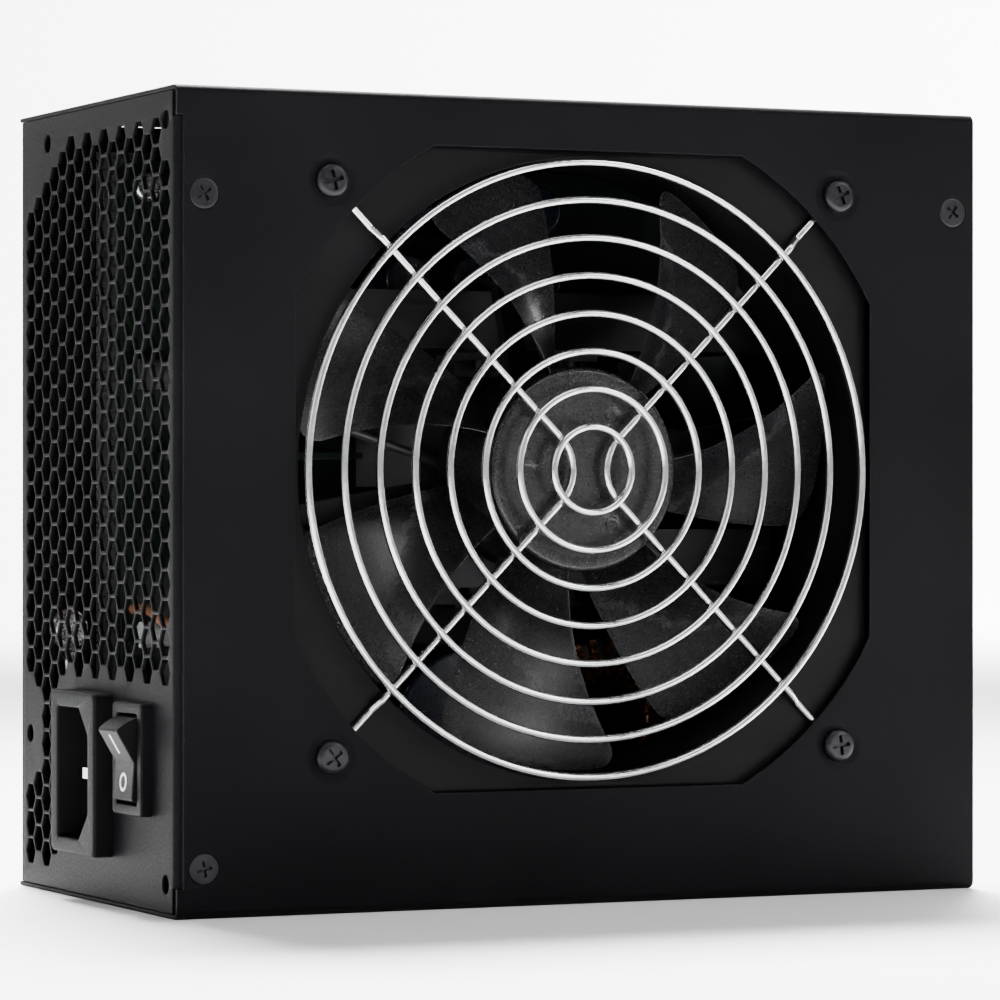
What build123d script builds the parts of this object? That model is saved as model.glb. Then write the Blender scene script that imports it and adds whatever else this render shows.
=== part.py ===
from build123d import *
from math import cos, radians, sin, sqrt, tan
import os

os.makedirs("parts", exist_ok=True)

# Computer power supply unit standing on its long side. Millimetres, +Z up.
# The origin is the centre of the casing's bottom face. The fan face looks along -Y,
# the rear panel with the mains inlet along -X and the cable side along +X.

# ---- driving dimensions: casing ----
case_depth = 165.0
case_thick = 86.0
case_height = 150.0
sheet = 0.8
bend_outer = 1.6
lap_gap = 0.1
flange_reach = 11.0
cover_setback = 1.2
relief_slit = 5.5

# ---- driving dimensions: fan, guard and their fixings ----
fan_size = 120.0
fan_thick = 25.0
fan_lift = 81.0
fan_hole_pitch = 105.0
fan_bore = 58.0
frame_corner = 5.0
strut_wide = 4.0
strut_thick = 3.0
hub_gap = 1.6
fan_screw_shank = 2.0
lead_spot_x = -12.0
lead_radius = 1.0
opening_half = 59.5
opening_radius = 67.5
guard_wire = 0.75
guard_first_ring = 8.0
guard_ring_pitch = 7.05
guard_ring_count = 8
guard_weld = 0.2
guard_leg_bend = 8.45
guard_joggle = 0.95
guard_joggle_radius = 60.0
eyelet_radius = 3.4
hub_radius = 19.2
hub_depth = 17.0
hub_wall = 1.5
yoke_depth = 13.5
shaft_length = 20.2
sleeve_drop = 4.6
sleeve_foot = 19.0
clip_low = 19.7
clip_high = 19.3
hub_inset = 0.5
hub_dimple = 1.4
hub_dimple_ring = 11.7
blade_count = 7
blade_gap = 1.5
blade_phase = 56.5
blade_sweep = 17.0
blade_root_angle = 23.0
blade_tip_angle = 33.0
blade_front = 2.6
blade_back = 17.4
blade_thick = 1.5
blade_edge = 0.5
blade_camber = 0.10
shaft_radius = 1.5
shaft_play = 0.04
sleeve_radius = 3.5
bearing_tube = 5.0
magnet_thick = 2.5
magnet_gap = 0.6
pole_neck = 3.2
pole_head = 2.0
stator_stack = 7.0
stator_drop = 8.6
coil_build = 1.4
yoke_wall = 0.6
screw_play = 0.05
pan_head = 3.2
pan_height = 1.3
dimple_radius = 3.9
dimple_depth = 0.35
fan_screw_length = 9.0
case_screw_head = 2.85
case_screw_shank = 1.5
case_screw_length = 5.0

# ---- driving dimensions: rear panel ----
hex_pitch = 5.3
hex_across = 4.65
hex_columns = 17
hex_top_even = 7.7
atx_hole = 1.75
inlet_y = 1.8
inlet_z = 24.2
inlet_flange_y = 24.0
inlet_flange_z = 30.5
inlet_proud = 4.0
inlet_cavity_y = 16.5
inlet_cavity_z = 24.5
inlet_cavity_depth = 17.5
inlet_chamfer = 5.0
inlet_wall = 1.6
pin_pitch = 7.0
pin_offset = 2.0
pin_wide = 4.0
pin_thick = 2.0
pin_tip = 0.5
earth_pin_tip = -2.0
pin_tab = 5.0
inlet_floor = 2.5
switch_y = -22.7
switch_z = 28.0
bezel_y = 15.3
bezel_z = 20.6
bezel_proud = 2.2
switch_body_y = 13.0
switch_body_z = 18.8
switch_body_depth = 14.0
rocker_width = 10.0
rocker_radius = 8.0
rocker_vertex = 2.6
rocker_face_angle = 17.0
rocker_throw = 26.0
rocker_play = 0.3
rocker_pin = 1.25
panel_play = 0.1
rocker_foot = 3.0
well_depth = 7.0
terminal_wide = 4.8
terminal_thick = 0.8
terminal_long = 5.6
terminal_offset = 5.0
outlet_y = 14.0
outlet_z = 122.0
outlet_radius = 14.5
grommet_bore = 11.5
grommet_lip = 2.2
grommet_thick = 1.5

# ---- driving dimensions: board and what stands on it ----
board_x = 138.0
board_z = 134.0
board_thick = 1.6
board_rise = 5.0
board_centre_x = 5.0
sink_height = 43.0
sink_thick = 3.0
sink_length = 104.0
primary_sink_z = 60.0
secondary_sink_z = 106.0
bulk_radius = 15.0
bulk_height = 42.0
core_width = 35.0
core_thick = 12.0
core_height = 32.0
core_leg = 11.0
core_window = 8.0
core_yoke = 5.0
wire_radius = 1.1
part_gap = 0.05

# ---- places worked out from the driving dimensions ----
x_rear = -case_depth / 2
x_front = case_depth / 2
y_fan = -case_thick / 2
y_back = case_thick / 2
tray_low = sheet + lap_gap
tray_high = case_height - sheet - lap_gap
flange_face = y_fan + sheet + lap_gap
frame_face = sheet + 2 * guard_wire
board_back = y_back - sheet - board_rise
board_front = board_back - board_thick
board_mid_z = case_height / 2
hub_top = -frame_face - hub_inset
cup_top = hub_top - hub_wall
frame_back = -frame_face - fan_thick
magnet_outer = hub_radius - hub_wall - yoke_wall
stator_radius = magnet_outer - magnet_thick - magnet_gap
stator_ring = bearing_tube + 1.6
stator_top = -frame_face - stator_drop

# Fan plane: local x = X, local y = height above the fan's axis, local z = outward from the fan face.
fan_plane = Plane(origin=(0, y_fan, fan_lift), x_dir=(1, 0, 0), z_dir=(0, -1, 0))
# Cover plane: as the fan plane, with its origin at the casing's bottom edge.
cover_plane = Plane(origin=(0, y_fan, 0), x_dir=(1, 0, 0), z_dir=(0, -1, 0))
# Rear plane: local x = Y, local y = Z, local z = depth into the casing.
rear_plane = Plane(origin=(x_rear, 0, 0), x_dir=(0, 1, 0), z_dir=(1, 0, 0))
# Board plane: local x = X, local y = Z, local z = height above the board's front face.
board_plane = Plane(origin=(0, board_front, 0), x_dir=(1, 0, 0), z_dir=(0, -1, 0))

BOTTOM = (Align.CENTER, Align.CENTER, Align.MIN)
TOP = (Align.CENTER, Align.CENTER, Align.MAX)

# Case screws hold the cover to the flanges behind it: two by the rear panel, one by the cable side.
case_screw_spots = [(x_rear + 5.2, case_height - 19.5), (x_rear + 5.2, 9.0),
                    (x_front - 4.7, case_height - 19.0)]
atx_hole_spots = [(y_fan + 6, case_height - 6), (y_fan + 6, 6),
                  (y_fan + 70, case_height - 6), (y_fan + 80, 30)]
fan_screw_spots = [(sx * fan_hole_pitch / 2, sy * fan_hole_pitch / 2) for sx in (-1, 1) for sy in (-1, 1)]


def cyl(radius, low, high):
    """Upright cylinder between two heights."""
    return Pos(0, 0, low) * Cylinder(radius, high - low, align=BOTTOM)


def tube(outer, inner, low, high):
    """Upright ring between two heights."""
    return cyl(outer, low, high) - cyl(inner, low - 1, high + 1)


def slab(size_x, size_y, low, high):
    """Upright block between two heights."""
    return Pos(0, 0, low) * Box(size_x, size_y, high - low, align=BOTTOM)


def wire_along(points, radii, radius):
    """Round wire along straight runs joined by tangent arcs."""
    path = FilletPolyline(*points, radius=radii)
    start = Plane(origin=path @ 0, z_dir=path % 0)
    return sweep(start * Circle(radius), path=path)


def group(solids):
    """Several separate solids of one node."""
    return Compound(children=list(solids))


# ---------------------------------------------------------------- casing

def case_screw(play=0.0):
    """Countersunk M3 screw: flush head, shank through cover and flange."""
    drop = case_screw_head - case_screw_shank
    head = Cone(case_screw_shank + play, case_screw_head + play, drop, align=TOP)
    return head + cyl(case_screw_shank + play, -case_screw_length - play, -drop / 2)


def case_screws():
    screws = []
    for x, z in case_screw_spots:
        recess = Pos(0, 0, -0.45) * (Box(2.8, 0.6, 2) + Box(0.6, 2.8, 2))
        recess = recess & cyl(2.0, -0.9, 0.1)
        screws.append(cover_plane * Pos(x, z, 0) * (case_screw() - recess))
    return group(screws)


def fan_opening():
    """Square opening with its corners rounded by one large circle."""
    return Rectangle(2 * opening_half, 2 * opening_half) & Circle(opening_radius)


def fan_cover():
    """Folded U: the fan face and the walls above and below it."""
    outer = Rectangle(case_thick, case_height)
    outer = fillet(outer.vertices().group_by(Axis.X)[0], bend_outer)
    inner = Pos(sheet, 0) * Rectangle(case_thick, case_height - 2 * sheet)
    inner = fillet(inner.vertices().group_by(Axis.X)[0], bend_outer - sheet)
    start = Plane(origin=(x_rear, 0, case_height / 2), x_dir=(0, 1, 0), z_dir=(1, 0, 0))
    cover = extrude(start * (outer - inner), amount=case_depth)
    cover -= Pos(x_rear, y_fan, case_height / 2) * Box(
        2 * cover_setback, 2 * sheet + lap_gap, case_height - 2 * relief_slit)
    cover -= extrude(fan_plane * fan_opening(), amount=2 * sheet, both=True)
    for x, y in fan_screw_spots:
        dimple = cyl(dimple_radius, -dimple_depth, 1)
        cover -= fan_plane * Pos(x, y, 0) * (cyl(fan_screw_shank + 0.4, -2, 1) + dimple)
    for x, z in case_screw_spots:
        cover -= cover_plane * Pos(x, z, 0) * case_screw(screw_play)
    return cover


def tray_sheet():
    """Rear panel, back wall, cable side and both flanges, as one folded strip."""
    depth_y = y_back - flange_face
    outer = RectangleRounded(case_depth, depth_y, bend_outer)
    inner = RectangleRounded(case_depth - 2 * sheet, depth_y - 2 * sheet, bend_outer - sheet)
    mouth = Pos(0, -depth_y / 2) * Rectangle(case_depth - 2 * flange_reach, 4 * sheet)
    strip = Pos(0, (y_back + flange_face) / 2, tray_low) * (outer - inner - mouth)
    folded = extrude(strip, amount=tray_high - tray_low)
    for x, z in case_screw_spots:
        folded -= cover_plane * Pos(x, z, 0) * case_screw(screw_play)
    relief = relief_slit + lap_gap
    for level in (0, case_height):
        folded -= Pos(0, flange_face, level) * Box(case_depth + 2, 2 * bend_outer, 2 * relief)
    return folded


def rear_split():
    """Block that holds the rear panel's share of the folded strip, up to the far bend."""
    reach = flange_reach + 1
    length = y_back - bend_outer - y_fan
    return Pos(x_rear + reach / 2 - 0.5, y_fan + length / 2, case_height / 2) * Box(
        reach + 1, length, case_height)


def hex_rows(column):
    """Rows that a honeycomb column has, counted from the top."""
    if column == 1:
        return list(range(2, 19)) + list(range(23, 26))
    if column == 2:
        return list(range(2, 20)) + list(range(23, 26))
    if column in (3, 4):
        return list(range(1, 26))
    if column == hex_columns:
        return list(range(1, 19))
    return list(range(0, 19))


def honeycomb():
    """Hexagonal vent holes, flat side up, in staggered columns."""
    column_pitch = hex_pitch * cos(radians(30))
    cell = RegularPolygon(hex_across / sqrt(3), 6)
    cells = []
    for column in range(1, hex_columns + 1):
        y = ((hex_columns + 1) / 2 - column) * column_pitch
        stagger = hex_pitch / 2 if column % 2 else 0
        for row in hex_rows(column):
            z = case_height - hex_top_even - stagger - row * hex_pitch
            cells.append(extrude(rear_plane * Pos(y, z, -1) * cell, amount=sheet + 2))
    return cells


def rear_panel():
    panel = tray_sheet() & rear_split()
    panel -= honeycomb()
    holes = [rear_plane * Pos(y, z, 0) * cyl(atx_hole, -1, 2) for y, z in atx_hole_spots]
    inlet_cut = slab(inlet_cavity_y + 2 * (inlet_wall + panel_play),
                     inlet_cavity_z + 2 * (inlet_wall + panel_play), -1, 2)
    switch_cut = slab(switch_body_y + 2 * panel_play, switch_body_z + 2 * panel_play, -1, 2)
    holes.append(rear_plane * Pos(inlet_y, inlet_z, 0) * inlet_cut)
    holes.append(rear_plane * Pos(switch_y, switch_z, 0) * switch_cut)
    return panel - holes


def base_tray():
    tray = tray_sheet() - rear_split()
    outlet = Plane(origin=(x_front, outlet_y, outlet_z), x_dir=(0, 1, 0), z_dir=(1, 0, 0))
    tray -= outlet * cyl(outlet_radius, -2, 1)
    tray -= earth_spot * cyl(1.95, -2, 1)
    for x, z in standoff_spots:
        tray -= Plane(origin=(x, y_back, z), z_dir=(0, -1, 0)) * cyl(1.5 + screw_play, -1, 2)
    return tray


def cable_grommet():
    """Rubber ring round the cable outlet, gripping the sheet in its groove."""
    outlet = Plane(origin=(x_front, outlet_y, outlet_z), x_dir=(0, 1, 0), z_dir=(1, 0, 0))
    ring = tube(outlet_radius + grommet_lip, grommet_bore, -sheet - grommet_thick, grommet_thick)
    groove = tube(outlet_radius + grommet_lip + 1, outlet_radius, -sheet, 0)
    return outlet * (ring - groove)


# ---------------------------------------------------------------- guard and fan

def guard_leg(side):
    """Leg wire: in from one corner, round behind the centre and out to the next corner."""
    low = -sheet - guard_wire
    high = low + guard_joggle
    far = fan_hole_pitch / sqrt(2) - eyelet_radius
    slope = 2.5
    stations = [(far, low), (guard_joggle_radius + slope, low), (guard_joggle_radius, high)]
    up = [(side * r * cos(radians(45)), r * sin(radians(45)), z) for r, z in stations]
    down = [(x, -y, z) for x, y, z in reversed(up)]
    return wire_along(up + [(0, 0, high)] + down, [2.0, 2.0, guard_leg_bend, 2.0, 2.0], guard_wire)


def fan_guard():
    """Eight rings welded on two bent legs, with an eyelet at each corner."""
    leg_level = -sheet - guard_wire + guard_joggle
    ring_level = leg_level + 2 * guard_wire - guard_weld
    guard = guard_leg(-1) + guard_leg(1)
    for count in range(guard_ring_count):
        ring = Torus(guard_first_ring + count * guard_ring_pitch, guard_wire)
        guard += Pos(0, 0, ring_level) * ring
    for x, y in fan_screw_spots:
        guard += Pos(x, y, -sheet - guard_wire) * Torus(eyelet_radius, guard_wire)
    return fan_plane * guard


def fan_screw():
    """Pan-head screw that holds the fan and the guard's eyelet to the cover."""
    head = cyl(pan_head, -dimple_depth, pan_height)
    head = fillet(head.edges().sort_by(Axis.Z)[-1], 0.8)
    recess = (Box(3.6, 0.8, 2.4) + Box(0.8, 3.6, 2.4)) & Pos(0, 0, 1.2) * Cylinder(2.6, 2.4)
    return head - recess + cyl(fan_screw_shank, -fan_screw_length, -dimple_depth)


def fan_screws():
    return group(fan_plane * Pos(x, y, 0) * fan_screw() for x, y in fan_screw_spots)


def fan_frame():
    """Square frame round the duct, with a screw hole in each closed corner."""
    square = RectangleRounded(fan_size, fan_size, frame_corner)
    body = extrude(Pos(0, 0, frame_back) * square, amount=fan_thick)
    body -= cyl(fan_bore, frame_back - 1, 0)
    for x, y in fan_screw_spots:
        body -= Pos(x, y, 0) * cyl(fan_screw_shank + screw_play, frame_back - 1, 0)
    return fan_plane * body


def fan_motor_mount():
    """Motor base with its bearing tube, held in the duct by four struts."""
    back = frame_back
    rim_top = hub_top - hub_depth - hub_gap
    strut = Pos(fan_bore / 2 + 5, 0, back) * Box(fan_bore, strut_wide, strut_thick, align=BOTTOM)
    body = cyl(hub_radius, back, back + 2.0)
    for turn in (10, 100, 190, 280):
        body += Rot(0, 0, turn) * strut
    body = body & cyl(fan_bore, back - 1, 0)
    body += tube(hub_radius, hub_radius - 1.4, back, rim_top)
    body += cyl(bearing_tube, back, -frame_face - 6.5)
    body -= cyl(sleeve_radius, back + 1.5, 0)
    body -= Pos(lead_spot_x, 0, 0) * cyl(lead_radius + 0.3, back - 1, back + 4)
    return fan_plane * body


def blade_section(radius, lead, trail):
    """Thin cambered section across a blade, on the plane that faces outward at a radius."""
    middle = (lead + trail) / 2
    half = radius * tan(radians((lead - trail) / 2))
    front = -frame_face - blade_front
    back = -frame_face - blade_back
    centre = (front + back) / 2
    bulge = blade_camber * (front - back)
    facing = Plane(origin=(radius * cos(radians(middle)), radius * sin(radians(middle)), centre),
                   x_dir=(-sin(radians(middle)), cos(radians(middle)), 0),
                   z_dir=(cos(radians(middle)), sin(radians(middle)), 0))
    rise = (front - back) / 2
    length = sqrt(half ** 2 + rise ** 2)
    side = Vector(rise / length, -half / length)
    nose = Vector(half, rise)
    tail = Vector(-half, -rise)
    edge = side * blade_edge / 2
    upper = ThreePointArc(nose + edge, side * (bulge + blade_thick / 2), tail + edge)
    lower = ThreePointArc(tail - edge, side * (bulge - blade_thick / 2), nose - edge)
    ends = [Line(tail + edge, tail - edge), Line(nose - edge, nose + edge)]
    return facing * make_face([upper, ends[0], lower, ends[1]])


def fan_impeller():
    """Cup hub with seven forward-swept blades."""
    cup = cyl(hub_radius, hub_top - hub_depth, hub_top)
    cup = fillet(cup.edges().sort_by(Axis.Z)[-1], 1.0)
    cup -= cyl(hub_radius - hub_wall, hub_top - hub_depth - 1, cup_top)
    for turn in range(3):
        spot = Rot(0, 0, 60 + 120 * turn) * Pos(hub_dimple_ring, 0, 0)
        cup -= spot * cyl(hub_dimple, hub_top - 0.5, hub_top + 1)
    tip = fan_bore - blade_gap
    root = hub_radius - 0.9
    stations = [0.0, 0.5, 1.0]
    reach = [root + (tip + 1.5 - root) * share for share in stations]
    sections = []
    for share, radius in zip(stations, reach):
        lead = blade_phase + blade_sweep * share
        width = blade_root_angle + (blade_tip_angle - blade_root_angle) * share
        sections.append(blade_section(radius, lead, lead - width))
    blade = loft(sections) & tube(tip, root - 0.4, frame_back, 0)
    for count in range(blade_count):
        cup += Rot(0, 0, 360 / blade_count * count) * blade
    return fan_plane * cup


def fan_yoke():
    """Steel cup pressed into the hub: it carries the magnet and the shaft."""
    outer = hub_radius - hub_wall
    cup = cyl(outer, cup_top - yoke_depth, cup_top)
    cup -= cyl(outer - yoke_wall, cup_top - yoke_depth - 1, cup_top - yoke_wall - 0.2)
    cup += cyl(2 * shaft_radius, cup_top - 3.0, cup_top)
    return fan_plane * (cup - cyl(shaft_radius, cup_top - yoke_depth - 1, cup_top + 1))


def fan_magnet_ring():
    inner = magnet_outer - magnet_thick
    return fan_plane * tube(magnet_outer, inner, cup_top - yoke_depth + 0.5, cup_top - 3.0)


def fan_shaft():
    shaft = cyl(shaft_radius, cup_top - shaft_length, cup_top)
    groove = tube(shaft_radius + 1, shaft_radius - 0.3, cup_top - clip_low, cup_top - clip_high)
    return fan_plane * (shaft - groove)


def fan_shaft_clip():
    """Split ring in the groove at the shaft's inner end."""
    ring = tube(2.8, shaft_radius - 0.3, cup_top - clip_low, cup_top - clip_high)
    return fan_plane * (ring - Pos(2, 0, cup_top - clip_low) * Box(3, 1.0, 2))


def fan_bearing_sleeve():
    inner = shaft_radius + shaft_play
    return fan_plane * tube(sleeve_radius, inner, cup_top - sleeve_foot, cup_top - sleeve_drop)


def fan_stator_core():
    """Laminated stack: four T-shaped poles round the bearing tube."""
    low = stator_top - stator_stack
    core = tube(stator_ring, bearing_tube, low, stator_top)
    core += tube(stator_radius, stator_radius - pole_head, low, stator_top)
    neck_long = stator_radius - bearing_tube - 2.0
    neck_mid = (stator_radius + bearing_tube) / 2
    for turn in range(4):
        neck = Pos(neck_mid, 0, 0) * slab(neck_long, pole_neck, low, stator_top)
        slot = Pos(stator_radius, 0, 0) * slab(2 * pole_head + 2.0, 1.6, low - 1, stator_top + 1)
        core += Rot(0, 0, 45 + 90 * turn) * neck
        core -= Rot(0, 0, 90 * turn) * slot
    return fan_plane * core


def fan_stator_windings():
    """Copper coil round the neck of each pole."""
    room = stator_radius - pole_head - stator_ring
    place = Pos(stator_ring + room / 2, 0, stator_top - stator_stack / 2)
    coil = Box(room - 1.0, pole_neck + 2 * coil_build, stator_stack + 2 * coil_build)
    coil -= Box(room, pole_neck + part_gap, stator_stack + part_gap)
    return group(fan_plane * Rot(0, 0, 45 + 90 * turn) * place * coil for turn in range(4))


def fan_driver_board():
    low = frame_back + 4.2
    board = tube(stator_radius + 2.0, bearing_tube + part_gap, low, low + 1.2)
    return fan_plane * board


def fan_lead():
    """Two-core lead from the motor's base to its plug on the main board."""
    start_y = y_fan + frame_face + fan_thick - 4.2
    plug_x, plug_z = fan_plug_spot
    points = [(lead_spot_x, start_y, fan_lift), (lead_spot_x, start_y + 11, fan_lift),
              (plug_x + 8, start_y + 11, plug_z - 6),
              (plug_x, start_y + 26, plug_z), (plug_x, board_front - 9.0, plug_z)]
    return wire_along(points, [4.0, 6.0, 6.0], lead_radius)


# ---------------------------------------------------------------- mains inlet

def inlet_cavity():
    """Socket outline: a rectangle with two corners cut off on the fan side."""
    outline = Rectangle(inlet_cavity_y, inlet_cavity_z)
    corners = outline.vertices().group_by(Axis.X)[0]
    return chamfer(corners, inlet_chamfer)


def inlet_housing():
    """Flange in front of the panel and the socket body behind it."""
    flange = RectangleRounded(inlet_flange_y, inlet_flange_z, 1.5)
    body = extrude(Pos(0, 0, -inlet_proud) * flange, amount=inlet_proud)
    depth = inlet_cavity_depth - inlet_proud
    body = fillet(body.edges().group_by(Axis.Z)[0], 0.8)
    wide = inlet_cavity_y + 2 * inlet_wall
    high = inlet_cavity_z + 2 * inlet_wall
    body += slab(wide, high, -0.5, depth + inlet_floor)
    body -= extrude(Pos(0, 0, -inlet_proud - 1) * inlet_cavity(), amount=inlet_cavity_depth + 1)
    for y, z in inlet_pin_spots:
        body -= Pos(y, z, depth) * Box(pin_wide, pin_thick, 9)
    return rear_plane * Pos(inlet_y, inlet_z, 0) * body


inlet_pin_spots = [(pin_offset, pin_pitch), (pin_offset, -pin_pitch), (-pin_offset, 0)]


def inlet_pin(number, tip):
    """Flat blade with a rounded tip; it passes through the socket's floor as a solder tab."""
    y, z = inlet_pin_spots[number]
    high = inlet_cavity_depth - inlet_proud + inlet_floor + pin_tab
    blade = slab(pin_wide, pin_thick, tip, high)
    blade = chamfer(blade.edges().filter_by(Axis.Y).group_by(Axis.Z)[0], 0.5)
    return rear_plane * Pos(inlet_y + y, inlet_z + z, 0) * blade


# ---------------------------------------------------------------- rocker switch

def switch_housing():
    """Bezel and body with the well that the rocker turns in."""
    bezel = extrude(Pos(0, 0, -bezel_proud) * RectangleRounded(bezel_y, bezel_z, 0.8), amount=bezel_proud)
    bezel = fillet(bezel.edges().group_by(Axis.Z)[0], 0.5)
    body = bezel + slab(switch_body_y, switch_body_z, -0.5, switch_body_depth)
    well_y = rocker_width + 2 * rocker_play
    well_z = 2 * (rocker_radius + rocker_play)
    body -= slab(well_y, well_z, -bezel_proud - 1, well_depth)
    body -= Rot(0, 90, 0) * Cylinder(rocker_pin + shaft_play, switch_body_y - 0.3)
    for z in (-terminal_offset, terminal_offset):
        body -= Pos(0, z, switch_body_depth) * Box(terminal_thick, terminal_wide, 4)
    return rear_plane * Pos(switch_y, switch_z, 0) * body


def switch_rocker():
    """Sector about the pivot with a shallow V front; its rest pose is off, the upper half raised."""
    face = radians(rocker_face_angle)
    half_sum = rocker_vertex * sin(face)
    reach = sqrt(half_sum ** 2 + rocker_radius ** 2 - rocker_vertex ** 2) - half_sum
    end_y = reach * cos(face)
    end_out = rocker_vertex + reach * sin(face)
    low_y = sqrt(rocker_radius ** 2 - rocker_foot ** 2)
    outline = [
        Line((0, rocker_vertex), (end_y, end_out)),
        ThreePointArc((end_y, end_out), (rocker_radius, 0), (low_y, -rocker_foot)),
        Line((low_y, -rocker_foot), (-low_y, -rocker_foot)),
        ThreePointArc((-low_y, -rocker_foot), (-rocker_radius, 0), (-end_y, end_out)),
        Line((-end_y, end_out), (0, rocker_vertex)),
    ]
    # Outline plane: local x = Z, local y = -X, which is outward from the panel.
    profile = Plane(origin=(0, 0, 0), x_dir=(0, 0, 1), z_dir=(0, -1, 0)) * make_face(outline)
    body = extrude(profile, amount=rocker_width / 2, both=True)
    body += Rot(90, 0, 0) * Cylinder(rocker_pin, switch_body_y - 0.6)
    place = Pos(x_rear, switch_y, switch_z) * Rot(0, -rocker_throw / 2, 0)
    return place * body


def switch_terminals():
    tabs = []
    for z in (-terminal_offset, terminal_offset):
        tab = slab(terminal_thick, terminal_wide, switch_body_depth - 2, switch_body_depth + terminal_long)
        tabs.append(rear_plane * Pos(switch_y, switch_z + z, 0) * tab)
    return group(tabs)


# ---------------------------------------------------------------- board and its fixings

board_low_x = board_centre_x - board_x / 2
board_low_z = board_mid_z - board_z / 2
standoff_spots = [(board_centre_x + sx * (board_x / 2 - 5), board_mid_z + sz * (board_z / 2 - 5))
                  for sx in (-1, 1) for sz in (-1, 1)]
earth_spot = Plane(origin=(x_rear + 9.5, y_back, 50), x_dir=(1, 0, 0), z_dir=(0, 1, 0))
fan_plug_spot = (board_low_x + 6, 100.0)


def stand(shape, x, z):
    """Place a piece on the board, its local z pointing off the board."""
    return board_plane * Pos(x, z, 0) * shape


def main_board():
    board = Box(board_x, board_z, board_thick, align=TOP)
    board = fillet(board.edges().filter_by(Axis.Z), 2.0)
    place = board_plane * Pos(board_centre_x, board_mid_z, 0)
    board = place * board
    for x, z in standoff_spots:
        board -= stand(cyl(1.7, -3, 1), x, z)
    for z in (primary_sink_z, secondary_sink_z):
        board -= [stand(foot, board_centre_x, z) for foot in sink_feet(part_gap)]
    return board


def board_standoffs():
    posts = []
    for x, z in standoff_spots:
        post = extrude(Pos(0, 0, -board_thick - board_rise) * RegularPolygon(3.2, 6), amount=board_rise)
        post += cyl(1.5, -board_thick - board_rise - sheet, -board_thick - board_rise)
        posts.append(stand(post - cyl(1.5, -board_thick - 4, 0), x, z))
    return group(posts)


def board_screws():
    screws = []
    for x, z in standoff_spots:
        head = fillet(cyl(2.9, 0, 2.0).edges().sort_by(Axis.Z)[-1], 0.8)
        slot = Pos(0, 0, 1.8) * (Box(3.4, 0.7, 1.6) + Box(0.7, 3.4, 1.6))
        screws.append(stand(head - slot + cyl(1.45, -board_thick - 3.6, 0), x, z))
    return group(screws)


def insulating_sheet():
    film = Box(board_x + 6, 0.4, board_z + 4)
    film = Pos(board_centre_x, y_back - sheet - 0.2, board_mid_z) * film
    for x, z in standoff_spots:
        film -= Pos(x, y_back - sheet, z) * Rot(90, 0, 0) * Cylinder(3.4, 4)
    return film


def sink_feet(grow=0.0):
    """Two flat feet that pass through slots in the board."""
    feet = []
    for side in (-1, 1):
        foot = slab(2.4 + 2 * grow, 1.2 + 2 * grow, -board_thick - grow, 1.0)
        feet.append(Pos(side * (sink_length / 2 - 6), 0, 0) * foot)
    return feet


def heatsink():
    """Aluminium plate standing on the board, finned along its free edge."""
    half = sink_thick / 2
    body = slab(sink_length, sink_thick, 0.8, sink_height)
    for level in (sink_height - 1.0, sink_height - 5.5, sink_height - 10.0):
        fin = Pos(0, half + 4.0, level) * Box(sink_length, 8.2, 1.6)
        body += fin
    body += sink_feet()
    for x in sink_screw_xs:
        body -= Pos(x, 0, device_hole_level) * Rot(90, 0, 0) * Cylinder(1.5 + screw_play, 20)
    return body


device_hole_level = 20.5
sink_screw_xs = [-18.0, 0.0, 18.0, 36.0]


def power_device():
    """Three-legged transistor: moulded body, metal tab with its hole, legs down to the board."""
    body = Pos(0, -2.3, 0) * slab(10.2, 4.6, 8.0, 17.2)
    body += Pos(0, -0.7, 0) * slab(10.2, 1.4, 17.2, 23.6)
    for x in (-2.54, 0, 2.54):
        body += Pos(x, -2.8, 0) * slab(0.8, 0.6, 0, 8.0)
    return body - Pos(0, 0, device_hole_level) * Rot(90, 0, 0) * Cylinder(1.6, 10)


def devices(z, xs):
    face = z - sink_thick / 2 - part_gap
    return group(stand(power_device(), board_centre_x + x, face) for x in xs)


def heatsink_screws():
    screws = []
    for z, xs in ((primary_sink_z, sink_screw_xs), (secondary_sink_z, sink_screw_xs[1:])):
        face = z - sink_thick / 2 - part_gap
        for x in xs:
            proud = 3.6 if z == primary_sink_z and x == xs[0] else 1.4
            head = Pos(0, -proud, device_hole_level) * Rot(90, 0, 0) * Cylinder(
                2.7, 1.8, align=(Align.CENTER, Align.CENTER, Align.MIN))
            shank = Pos(0, -proud, device_hole_level) * Rot(-90, 0, 0) * Cylinder(
                1.45, proud + 3.0, align=(Align.CENTER, Align.CENTER, Align.MIN))
            screws.append(stand(head + shank, board_centre_x + x, face))
    return group(screws)


def bridge_rectifier():
    """Flat four-legged rectifier block bolted to the primary heatsink."""
    body = Pos(0, -1.8, 0) * slab(20.0, 3.6, 8.0, 26.0)
    for x in (-7.6, -2.5, 2.5, 7.6):
        body += Pos(x, -1.8, 0) * slab(1.0, 0.6, 0, 8.0)
    body -= Pos(0, 0, device_hole_level) * Rot(90, 0, 0) * Cylinder(1.6, 10)
    return stand(body, board_centre_x + sink_screw_xs[0], primary_sink_z - sink_thick / 2 - part_gap)


# ---------------------------------------------------------------- wound parts

def ring_core(outer, inner, thick):
    return fillet(tube(outer, inner, -thick / 2, thick / 2).edges().filter_by(GeomType.CIRCLE), 0.6)


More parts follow.
